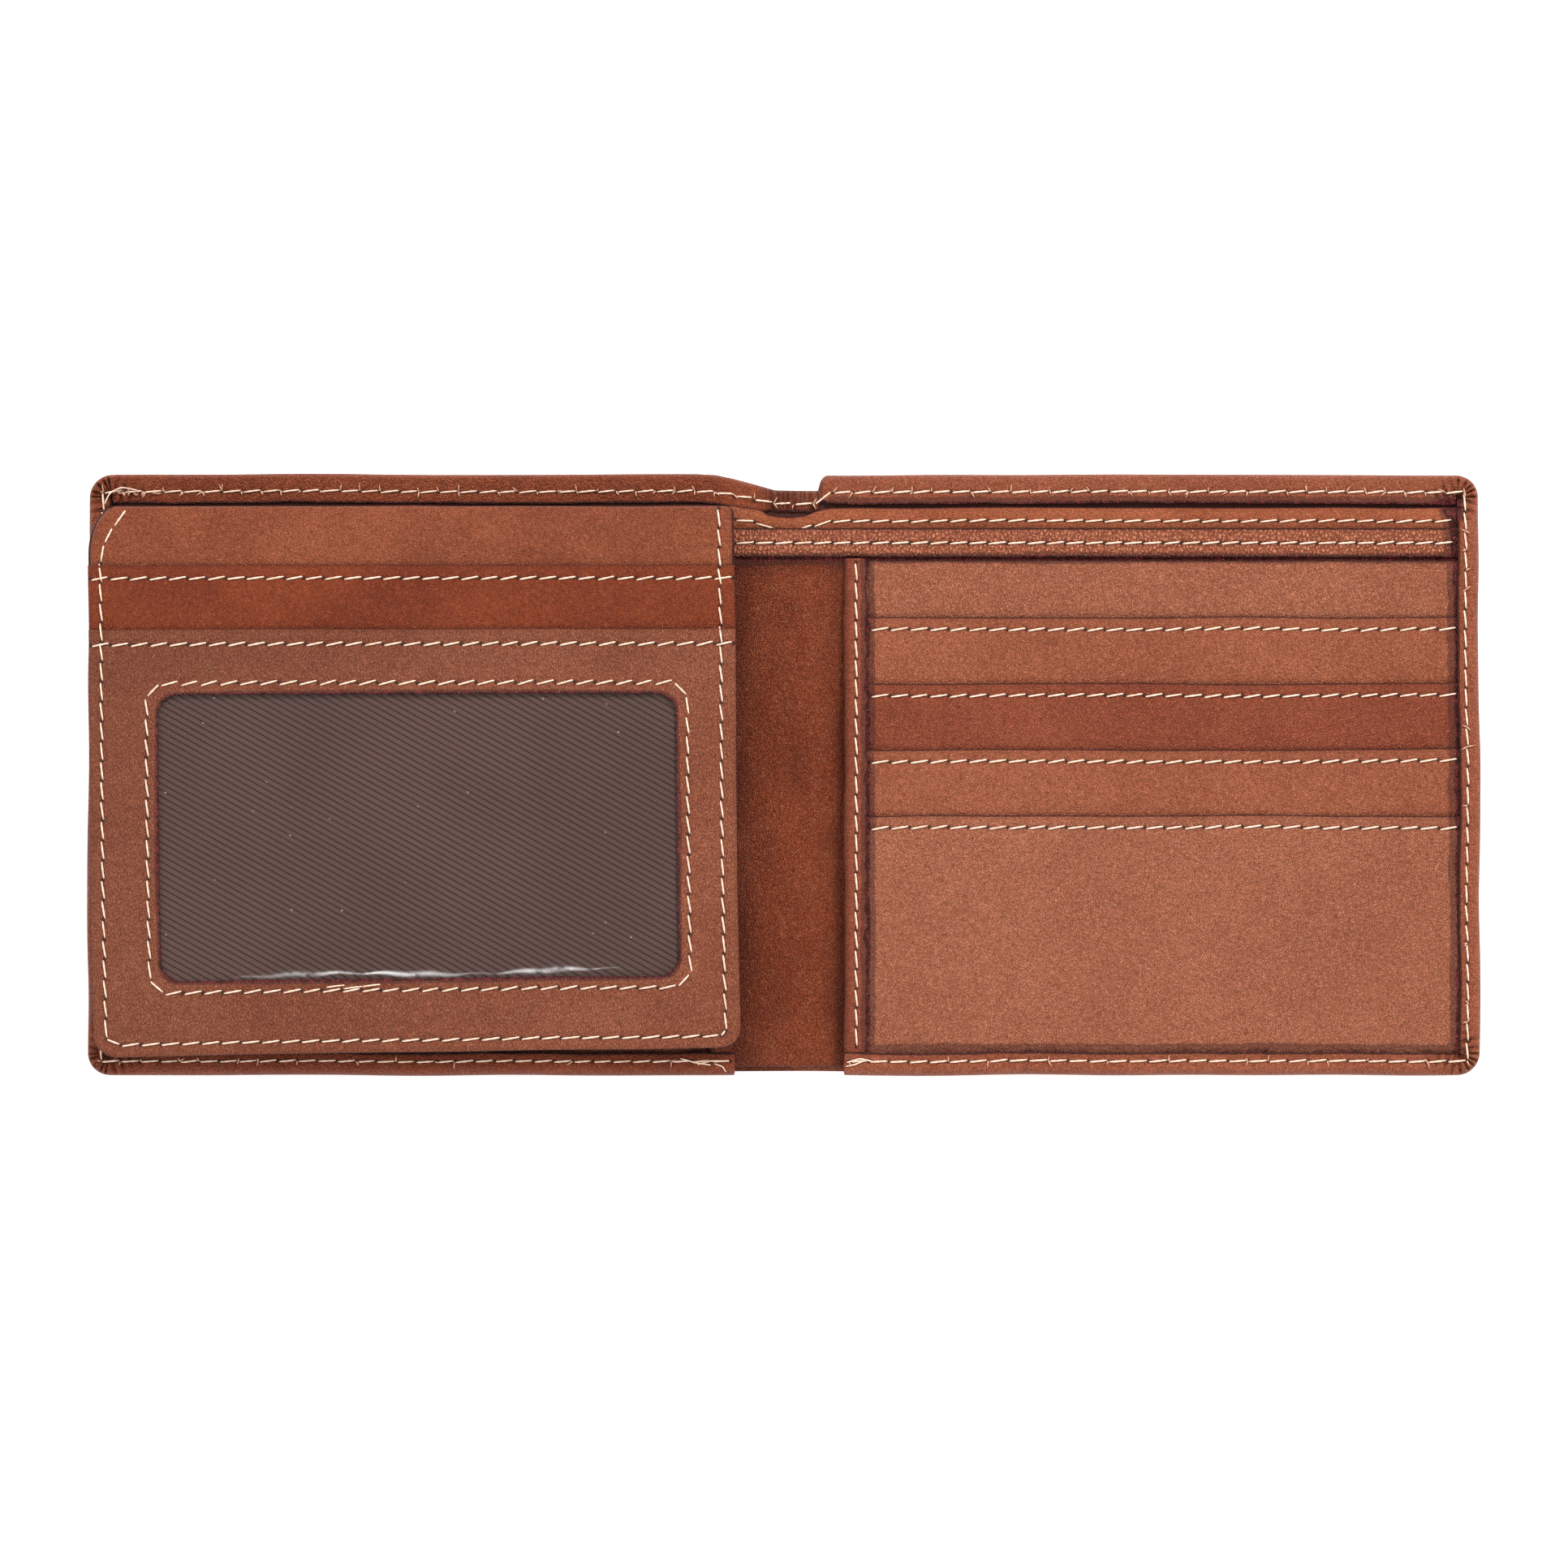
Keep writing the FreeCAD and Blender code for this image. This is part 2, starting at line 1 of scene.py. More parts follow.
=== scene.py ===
import json
import math
import bmesh
import bpy
import numpy as np
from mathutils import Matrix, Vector


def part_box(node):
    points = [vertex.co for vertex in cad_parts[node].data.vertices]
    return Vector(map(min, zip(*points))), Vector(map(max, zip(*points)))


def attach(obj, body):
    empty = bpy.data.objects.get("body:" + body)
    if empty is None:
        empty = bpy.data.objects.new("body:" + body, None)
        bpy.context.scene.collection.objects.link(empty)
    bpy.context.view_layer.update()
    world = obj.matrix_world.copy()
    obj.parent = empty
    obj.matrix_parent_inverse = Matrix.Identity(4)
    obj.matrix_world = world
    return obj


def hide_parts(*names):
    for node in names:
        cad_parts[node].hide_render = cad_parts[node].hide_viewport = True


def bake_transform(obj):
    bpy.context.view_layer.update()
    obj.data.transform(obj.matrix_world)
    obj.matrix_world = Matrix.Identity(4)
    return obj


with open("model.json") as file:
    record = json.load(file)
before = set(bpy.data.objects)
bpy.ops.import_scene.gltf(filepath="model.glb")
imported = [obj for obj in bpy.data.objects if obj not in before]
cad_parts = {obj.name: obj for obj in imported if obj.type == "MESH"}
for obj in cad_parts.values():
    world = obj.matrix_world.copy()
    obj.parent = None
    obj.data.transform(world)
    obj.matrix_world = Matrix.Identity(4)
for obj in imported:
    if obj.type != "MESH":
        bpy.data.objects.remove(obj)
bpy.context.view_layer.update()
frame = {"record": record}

# Leather bifold wallet, open and flat, seen from straight above. Lengths in the builders below are in
# millimetres, in the frame's axes; MM turns them into the scene's metres.

MM = 0.001


def span(node):
    low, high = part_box(node)
    return [v / MM for v in low], [v / MM for v in high]


# ---------------------------------------------------------------- camera, light and floor


def camera():
    data = bpy.data.cameras.new("camera")
    data.sensor_width = 36.0
    data.lens = 150.0
    eye = bpy.data.objects.new("camera", data)
    frame_width, mid_height = 0.2396, 0.006
    eye.location = (0, 0, frame_width * data.lens / data.sensor_width + mid_height)
    bpy.context.scene.collection.objects.link(eye)
    bpy.context.scene.camera = eye
    bpy.context.scene.view_settings.view_transform = "Standard"


def softbox(name, place, size, power, colour=(1, 1, 1)):
    data = bpy.data.lights.new(name, "AREA")
    data.shape = "RECTANGLE"
    data.size, data.size_y = size
    data.energy = power
    data.color = colour
    lamp = bpy.data.objects.new(name, data)
    lamp.location = place
    lamp.rotation_euler = (-Vector(place)).to_track_quat("-Z", "Y").to_euler()
    bpy.context.scene.collection.objects.link(lamp)


def lights():
    world = bpy.data.worlds.new("studio")
    world.use_nodes = True
    back = world.node_tree.nodes["Background"]
    back.inputs["Color"].default_value = (1.0, 1.0, 1.0, 1)
    back.inputs["Strength"].default_value = 0.80
    bpy.context.scene.world = world
    softbox("key", (0.30, 0.62, 0.62), (0.32, 0.22), 9.1)
    softbox("fill", (-0.7, 0.2, 0.6), (0.4, 0.4), 3.0)
    softbox("front", (0.1, -0.7, 0.7), (0.7, 0.25), 3.0)


def floor():
    half, z = 6.0, -0.0002
    mesh = bpy.data.meshes.new("floor")
    corners = [(-half, -half, z), (half, -half, z), (half, half, z), (-half, half, z)]
    mesh.from_pydata(corners, [], [(0, 1, 2, 3)])
    ground = bpy.data.objects.new("floor", mesh)
    bpy.context.scene.collection.objects.link(ground)
    material, nodes = new_material("floor")
    nodes.to_shader(Base_Color=(0.93, 0.93, 0.93), Roughness=0.9)
    nodes.to_shader(Emission_Color=(1.0, 1.0, 1.0), Emission_Strength=0.35)
    mesh.materials.append(material)


# ---------------------------------------------------------------- material building


class Nodes:
    """A short way to add and link shader nodes."""

    def __init__(self, tree):
        self.tree = tree
        self.shader = next(n for n in tree.nodes if n.type == "BSDF_PRINCIPLED")
        self.output = next(n for n in tree.nodes if n.type == "OUTPUT_MATERIAL")

    def give(self, socket, value):
        """Links another node's output to a socket, or sets the socket's own value."""
        if isinstance(value, bpy.types.NodeSocket):
            self.tree.links.new(value, socket)
        elif socket.type == "RGBA":
            socket.default_value = (*value, 1)
        else:
            socket.default_value = value

    def add(self, kind, values=None, **settings):
        node = self.tree.nodes.new(kind)
        for key, value in settings.items():
            setattr(node, key, value)
        for key, value in (values or {}).items():
            self.give(node.inputs[key], value)
        return node

    def place(self, stretch=(1, 1, 1), turn=0.0):
        """Object coordinates, scaled and turned about Z."""
        coordinates = self.add("ShaderNodeTexCoord").outputs["Object"]
        values = {"Vector": coordinates, "Scale": stretch, "Rotation": (0, 0, turn)}
        return self.add("ShaderNodeMapping", values).outputs[0]

    def noise(self, vector, scale, detail=2.0, roughness=0.5, distortion=0.0):
        values = {"Vector": vector, "Scale": scale, "Detail": detail, "Roughness": roughness}
        return self.add("ShaderNodeTexNoise", {**values, "Distortion": distortion}).outputs["Fac"]

    def cells(self, vector, scale, feature="F1", output="Distance"):
        values = {"Vector": vector, "Scale": scale}
        return self.add("ShaderNodeTexVoronoi", values, feature=feature).outputs[output]

    def ramp(self, value, low, high, start=0.0, end=1.0):
        values = {"Value": value, "From Min": low, "From Max": high, "To Min": start, "To Max": end}
        node = self.add("ShaderNodeMapRange", values, interpolation_type="SMOOTHSTEP")
        return node.outputs["Result"]

    def maths(self, operation, first, second=0.0):
        return self.add("ShaderNodeMath", {0: first, 1: second}, operation=operation).outputs[0]

    def weighted(self, *parts):
        """The sum of some values, each times its weight."""
        total = 0.0
        for value, weight in parts:
            total = self.maths("ADD", total, self.maths("MULTIPLY", value, weight))
        return total

    def ragged(self, value, noise, amount):
        """A value with some of a noise added, the noise centred on nought."""
        return self.maths("ADD", value, self.maths("MULTIPLY", self.maths("SUBTRACT", noise, 0.5), amount))

    def mix(self, factor, first, second):
        """Two colours mixed: sockets 0, 6 and 7 are the mix node's share and its colours."""
        values = {0: factor, 6: first, 7: second}
        return self.add("ShaderNodeMix", values, data_type="RGBA").outputs[2]

    def tint(self, tone, colour, value, low, high, most=1.0):
        """Mixes a colour into a tone, up to the share most as the value goes from low to high."""
        return self.mix(self.ramp(value, low, high, 0.0, most), tone, colour)

    def attribute(self, name):
        return self.add("ShaderNodeAttribute", attribute_name=name).outputs["Fac"]

    def bump(self, height, distance, strength=1.0):
        values = {"Height": height, "Distance": distance, "Strength": strength}
        return self.add("ShaderNodeBump", values).outputs["Normal"]

    def to_shader(self, **values):
        """Links or sets the shader's sockets; an underscore stands for a space in their names."""
        for key, value in values.items():
            self.give(self.shader.inputs[key.replace("_", " ")], value)


def new_material(name):
    material = bpy.data.materials.new(name)
    material.use_nodes = True
    return material, Nodes(material.node_tree)


PAINT_DARK = (0.042, 0.008, 0.007)
PAINT_WINE = (0.150, 0.018, 0.022)


def leather(name, colour, grain=1.0, cell=0.34, stretch=(1.25, 0.85), mottle=0.3, rough=0.5, streaks=0.0,
            gold=0.0, edge=0.12):
    """Vegetable-tanned leather: blotchy colour, grain cells, pores, painted rims and paint smears.

    The meshes carry attributes in millimetres: rim, the distance to the cut edge; stain, the distance to
    a painted seam beside it; press, how deep the thread or a pleat pulls the leather down, painted darker
    as shade in that hollow. A fourth, shade, says how much darker it is painted: mostly painted shade,
    also some wear, small dents and uneven tone."""
    material, n = new_material(name)
    dark = tuple(c * f for c, f in zip(colour, (0.60, 0.46, 0.40)))
    light = tuple(min(1.0, c * f) for c, f in zip(colour, (1.30, 1.48, 1.65)))
    flat = n.place()
    blotch = n.noise(flat, 42.0, 4.0, 0.6)
    patch = n.noise(flat, 260.0, 4.0, 0.62)
    wrinkle = n.noise(n.place((1.0, 0.45, 1.0), 0.2), 700.0, 3.0, 0.6, 0.6)
    crackle = n.noise(n.place((1.25, 0.7, 1.0), 0.12), 2500.0, 2.0, 0.6, 0.3)
    pores = n.noise(flat, 4200.0, 2.0, 0.7)
    speckle = n.noise(flat, 1900.0, 3.0, 0.75)
    crease, crown = grain_cells(n, cell, stretch)
    tone = n.mix(mottle, colour, n.mix(n.ramp(blotch, 0.36, 0.64), dark, light))
    tone = n.tint(tone, dark, patch, 0.44, 0.66, 0.15)
    tone = n.tint(tone, light, patch, 0.52, 0.34, 0.12)
    tone = n.mix(n.maths("MULTIPLY", n.maths("SUBTRACT", 1.0, crease), min(0.95, 0.55 * grain)), tone, dark)
    tone = n.tint(tone, light, crown, 0.55, 1.0, min(0.9, 0.34 * grain))
    tone = n.tint(tone, light, crackle, 0.51, 0.66, min(0.8, 0.34 * grain))
    tone = n.tint(tone, dark, crackle, 0.49, 0.34, min(0.9, 0.40 * grain))
    tone = n.tint(tone, light, speckle, 0.54, 0.68, 0.8)
    tone = n.tint(tone, dark, speckle, 0.46, 0.32, 0.85)
    tone = n.tint(tone, light, pores, 0.62, 0.74, 0.4)
    tone = n.tint(tone, dark, pores, 0.36, 0.26, 0.7)
    if gold:
        fleck = n.noise(n.place((1.0, 0.8, 1.0), 0.4), 1700.0, 3.0, 0.8)
        tone = n.tint(tone, (0.36, 0.13, 0.058), fleck, 0.54, 0.70, gold)
    if streaks:
        lines = n.noise(n.place((0.22, 1.0, 1.0)), 3000.0, 2.0, 0.6)
        tone = n.tint(tone, dark, lines, 0.40, 0.62, streaks)
    tone, thick = painted_shade_wear_and_edge_paint(n, flat, tone, dark, edge)
    height = n.weighted(
        (crease, 0.9 * grain), (crown, 0.5 * grain), (pores, 0.9 * grain), (speckle, 1.6), (crackle, 1.8),
        (wrinkle, 2.6),
    )
    shine = n.ramp(patch, 0.3, 0.7, rough + 0.08, rough - 0.08)
    shine = n.maths("SUBTRACT", shine, n.maths("MULTIPLY", thick, 0.2))
    n.to_shader(Base_Color=tone, Normal=n.bump(height, 0.00020), Roughness=shine, Specular_IOR_Level=0.26)
    return material


def grain_cells(n, cell, stretch):
    """Grain cells, drawn out across the hide, with a wandering outline: their creases and their crowns."""
    drawn = n.place((*stretch, 1.0), 0.10)
    wobble = n.noise(drawn, 1500.0, 2.0, 0.6)
    shift = n.add("ShaderNodeCombineXYZ", {"X": n.maths("MULTIPLY", wobble, 0.0005)})
    bent = n.add("ShaderNodeVectorMath", {0: drawn, 1: shift.outputs[0]}, operation="ADD").outputs[0]
    size = 1.0 / (cell * MM)
    crease = n.ramp(n.cells(bent, size, "DISTANCE_TO_EDGE"), 0.0, 0.22)
    crown = n.ramp(n.cells(bent, size), 0.75, 0.1)
    return crease, crown


def painted_shade_wear_and_edge_paint(n, flat, tone, dark, edge):
    """Adds the painted shade and some wear from the shade attribute, painted shade where thread or pleats
    press the leather down, the painted cut edge and the paint that ran over from a neighbouring edge.
    """
    # painted shade: the shade attribute darkens the tone, mostly for shade, with some wear, dents and uneven
    # tone
    tone = n.mix(n.maths("MULTIPLY", n.attribute("shade"), 0.85), tone, tuple(c * 0.42 for c in dark))
    ragged = n.noise(flat, 1100.0, 3.0, 0.7)
    soft = n.noise(flat, 170.0, 2.0, 0.5)
    rim = n.ragged(n.attribute("rim"), ragged, 0.9 * edge)
    tone = n.tint(tone, dark, rim, edge + 0.75, edge + 0.2, 0.32)
    tone = n.tint(tone, PAINT_DARK, rim, edge + 0.06, edge - 0.07, 0.9)
    # painted shade in the hollows where thread or pleats press the leather down
    tone = n.tint(tone, tuple(c * 0.22 for c in dark), n.attribute("press"), 0.06, 0.24, 0.8)
    smear = n.ragged(n.ragged(n.attribute("stain"), soft, 1.1), ragged, 0.55)
    thick = n.ramp(smear, 0.62, 0.32, 0.0, 0.88)
    tone = n.tint(tone, (0.070, 0.018, 0.013), smear, 1.5, 1.25, 0.6)
    tone = n.mix(thick, tone, n.mix(n.ramp(ragged, 0.42, 0.60), PAINT_DARK, PAINT_WINE))
    return tone, thick


def thread_material():
    material, n = new_material("cream_thread")
    flat = n.place()
    fibre = n.noise(flat, 4200.0, 3.0, 0.7)
    dirt = n.noise(flat, 420.0, 2.0, 0.5)
    tone = n.mix(n.ramp(dirt, 0.45, 0.75), (0.76, 0.55, 0.42), (0.66, 0.43, 0.30))
    tone = n.tint(tone, (0.44, 0.25, 0.15), fibre, 0.45, 0.75, 0.35)
    n.to_shader(Base_Color=tone, Normal=n.bump(fibre, 0.00005, 0.8), Roughness=0.68, Sheen_Weight=0.25)
    return material


def speckled_material(name, scale, first, second, roughness):
    """A matt colour that varies finely between two others."""
    material, n = new_material(name)
    speck = n.noise(n.place(), scale, 2.0, 0.6)
    n.to_shader(Base_Color=n.mix(speck, first, second), Roughness=roughness)
    return material


def cloth_material(name, first, second, pitch):
    """Plain weave: two sets of threads, over and under."""
    material, n = new_material(name)
    flat = n.place()
    values = {"Vector": flat, "Scale": 0.5 / pitch, "Distortion": 0.4}
    warp, weft = (n.add("ShaderNodeTexWave", values, bands_direction=way).outputs["Fac"] for way in "XY")
    weave = n.maths("MULTIPLY", warp, weft)
    fibre = n.noise(flat, 3000.0, 3.0, 0.6)
    tone = n.mix(n.ramp(weave, 0.1, 0.8), first, second)
    tone = n.tint(tone, first, fibre, 0.3, 0.7, 0.3)
    n.to_shader(Base_Color=tone, Normal=n.bump(weave, 0.00006, 0.9), Roughness=0.85, Specular_IOR_Level=0.15)
    return material


TWILL_TURN = math.radians(-29)
TWILL_PITCH = 0.87
FLOAT_PITCH = 0.41


def twill_material():
    """Steep ribs that run down to the right, with a row of short dark floats between each two; the dark
    valleys and the lighter rib crowns are painted shade and highlight for the weave's relief.
    """
    material, n = new_material("brown_twill")
    turned = n.place((1, 1, 1), -TWILL_TURN)
    parts = n.add("ShaderNodeSeparateXYZ", {0: turned})
    across = n.maths("MULTIPLY", parts.outputs["Y"], 2 * math.pi / (TWILL_PITCH * MM))
    along = n.maths("MULTIPLY", parts.outputs["X"], 2 * math.pi / (FLOAT_PITCH * MM))
    wander = n.noise(turned, 120.0, 2.0, 0.5)
    rib = n.maths("SINE", n.weighted((across, 1.0), (wander, 0.5)))
    float_wave = n.maths("SINE", n.weighted((along, 1.0), (across, 0.5)))
    fibre = n.noise(turned, 2600.0, 3.0, 0.6)
    cloud = n.noise(n.place(), 45.0, 2.0, 0.5)
    tone = n.mix(n.ramp(cloud, 0.35, 0.65), (0.066, 0.034, 0.0285), (0.079, 0.0405, 0.034))
    # painted shade: the valleys between the ribs, broken into dark dashes by the floats
    valley = n.ramp(rib, -0.40, -0.88)
    dots = n.maths("MULTIPLY", valley, n.ramp(float_wave, -0.9, 0.3, 0.6, 1.0))
    tone = n.mix(n.maths("MULTIPLY", dots, 0.95), tone, (0.006, 0.004, 0.004))
    # painted highlight on the ribs' crowns
    tone = n.tint(tone, (0.095, 0.052, 0.042), rib, 0.1, 1.0, 0.25)
    tone = n.tint(tone, (0.11, 0.07, 0.055), fibre, 0.50, 0.8, 0.12)
    n.to_shader(Base_Color=tone, Roughness=0.85, Specular_IOR_Level=0.2)
    return material


def film_material():
    """Clear film with fine dust, a few hairline scratches, a painted highlight along its ridge and a glossy
    face.
    """
    material, n = new_material("clear_film")
    flat = n.place()
    drawn_out = n.place((1.0, 0.07, 1.0), 0.25)

    def some_cells(vector, size, low, high):
        """A random share of the cells."""
        pick = n.cells(vector, size, output="Color")
        return n.ramp(n.add("ShaderNodeSeparateColor", {0: pick}).outputs[0], low, high)

    dust_size, hair_size = 520.0, 260.0
    dust = n.ramp(n.cells(flat, dust_size), 0.062, 0.03)
    speck = n.maths("MULTIPLY", dust, some_cells(flat, dust_size, 0.82, 0.86))
    speck = n.maths("MAXIMUM", speck, n.ramp(n.noise(flat, 4500.0, 2.0, 0.7), 0.765, 0.80))
    hair = n.ramp(n.cells(drawn_out, hair_size), 0.028, 0.014)
    scratch = n.maths("MULTIPLY", hair, some_cells(drawn_out, hair_size, 0.90, 0.92))
    marks = n.maths("MAXIMUM", n.maths("MULTIPLY", speck, 0.6), n.maths("MULTIPLY", scratch, 0.5))
    broken = n.ramp(n.noise(flat, 300.0, 3.0, 0.7), 0.34, 0.58, 0.1, 1.0)
    # painted highlight: light caught along the film's ridge, mixed in with the dust and scratches
    marks = n.maths("MAXIMUM", marks, n.maths("MULTIPLY", n.attribute("gleam"), broken))
    n.to_shader(Base_Color=(0.80, 0.78, 0.76), Roughness=0.5)
    clear = n.add("ShaderNodeBsdfTransparent", {"Color": (0.97, 0.965, 0.96)})
    face = n.add("ShaderNodeBsdfGlossy", {"Color": (1, 1, 1), "Roughness": 0.12})
    both = n.add("ShaderNodeMixShader", {0: 0.008, 1: clear.outputs[0], 2: face.outputs[0]})
    whole = n.add("ShaderNodeMixShader", {0: marks, 1: both.outputs[0], 2: n.shader.outputs[0]})
    n.tree.links.new(whole.outputs[0], n.output.inputs["Surface"])
    return material


# ---------------------------------------------------------------- mesh building


def mesh_object(name, points, faces, materials, attributes=None, face_slots=None):
    """A smooth mesh from points in millimetres."""
    mesh = bpy.data.meshes.new(name)
    points = np.asarray(points, dtype=np.float64) * MM
    mesh.from_pydata(points.tolist(), [], [tuple(int(v) for v in f) for f in faces])
    mesh.polygons.foreach_set("use_smooth", [True] * len(mesh.polygons))
    for key, values in (attributes or {}).items():
        data = mesh.attributes.new(key, "FLOAT", "POINT")
        data.data.foreach_set("value", np.asarray(values, dtype=np.float32).ravel())
    for material in materials:
        mesh.materials.append(material)
    if face_slots is not None:
        mesh.polygons.foreach_set("material_index", face_slots)
    mesh.update()
    thing = bpy.data.objects.new(name, mesh)
    bpy.context.scene.collection.objects.link(thing)
    return thing


def swell(x, y, size, seed, octaves=2):
    """Smooth seeded unevenness, about -1 to 1; size is the length of one swell."""
    own = np.random.default_rng(seed)
    total = np.zeros(np.broadcast(x, y).shape)
    waves = 6
    for octave in range(octaves):
        for _ in range(waves):
            angle, phase = own.uniform(0, 2 * math.pi, 2)
            rate = 2 * math.pi * own.uniform(0.6, 1.4) * 2**octave / size
            run = x * math.cos(angle) + y * math.sin(angle)
            total += 0.5**octave * np.sin(rate * run + phase)
    return total / math.sqrt(waves) / 1.4


def pebbles(x, y, size, seed):
    """Rounded cells, 0 in the creases between them and 1 on their crowns."""
    own = np.random.default_rng(seed)
    left, low = np.floor(x.min() / size) - 2, np.floor(y.min() / size) - 2
    shape = (int(x.max() / size - left) + 4, int(y.max() / size - low) + 4)
    jitter = own.uniform(0.08, 0.92, (2, *shape))
    column = (np.floor(x / size) - left).astype(int)
    row = (np.floor(y / size) - low).astype(int)
    reach = []
    for i in (-1, 0, 1):
        for j in (-1, 0, 1):
            c, r = column + i, row + j
            px = (c + left + jitter[0, c, r]) * size
            py = (r + low + jitter[1, c, r]) * size
            reach.append(np.hypot(x - px, y - py))
    nearest = np.sort(np.array(reach), axis=0)
    gap = (nearest[1] - nearest[0]) / size
    return np.clip(gap / 0.4, 0, 1) ** 0.6


RIMS = (0.0, 0.04, 0.12, 0.25, 0.45, 0.8)
HOLE_SIDE = 0.28
PITCH = 3.0


def grid_lines(low, high, step, marks=()):
    """Places of grid lines: close at both edges, at each mark, and never more than step apart."""
    inner = [m for m in marks if low + RIMS[-1] < m < high - RIMS[-1]]
    wanted = sorted([low + r for r in RIMS] + [high - r for r in RIMS] + inner)
    kept = [wanted[0]]
    for place in wanted[1:]:
        if place - kept[-1] > 0.03:
            kept.append(place)
    kept[-1] = high
    lines = []
    for start, end in zip(kept, kept[1:]):
        count = max(1, math.ceil((end - start) / step - 1e-6))
        lines.extend(start + (end - start) * k / count for k in range(count))
    return np.array(lines + [high])


def around(places, offsets=(-HOLE_SIDE, 0, HOLE_SIDE)):
    return [p + o for p in places for o in offsets]


def at(function, place):
    """Calls a function of two arrays at a single place."""
    return function(np.array(place[0], float), np.array(place[1], float))


def both_faces(x, y, top, under):
    """The points of a piece's upper face, and then those of its underside."""
    return np.concatenate([np.stack([x, y, z], -1).reshape(-1, 3) for z in (top, under)])


def tube_faces(rings, count, flip=False):
    """The side faces between rings of points that follow one another."""
    faces = []
    for j in range(rings - 1):
        for i in range(count):
            a, b = j * count + i, j * count + (i + 1) % count
            faces.append([a, b, b + count, a + count] if flip else [a, a + count, b + count, b])
    return faces


SEAM_SIDES = (-1.1, -0.6, -0.3, 0, 0.3, 0.6, 1.1)
CORNER_WAYS = ((-1, -1), (1, -1), (1, 1), (-1, 1))
FAR = 9.0


class Seam:
    """A straight row of stitches along X or Y, before the sheet under it is warped."""

    def __init__(self, along, at, start, end, slant=0.17, torn=0.0):
        self.along, self.at, self.slant, self.torn = along, at, slant, torn
        count = max(1, round(abs(end - start) / PITCH))
        self.holes = np.linspace(min(start, end), max(start, end), count + 1)
        self.pitch = self.holes[1] - self.holes[0]

    def spot(self, hole):
        """The X and Y of a hole."""
        return (hole, self.at) if self.along == "x" else (self.at, hole)

    def pressed(self, x, y):
        """How deep the thread pulls the leather down at each point."""
        along, off = (x, y - self.at) if self.along == "x" else (y, x - self.at)
        nearest = np.clip(np.round((along - self.holes[0]) / self.pitch), 0, len(self.holes) - 1)
        reach = along - (self.holes[0] + nearest * self.pitch)
        inside = np.clip(1.6 - np.abs(reach) / self.pitch * 1.6, 0, 1)
        groove = 0.085 * np.exp(-((off / 0.5) ** 2)) * inside
        hole = 0.20 * np.exp(-(reach**2 + off**2) / 0.27**2)
        shoulder = 0.05 * np.exp(-(((np.abs(off) - 1.0) / 0.45) ** 2)) * inside
        pucker = 0.03 * np.cos(2 * math.pi * reach / self.pitch) * np.exp(-((off / 1.2) ** 2)) * inside
        return groove + hole - shoulder + pucker


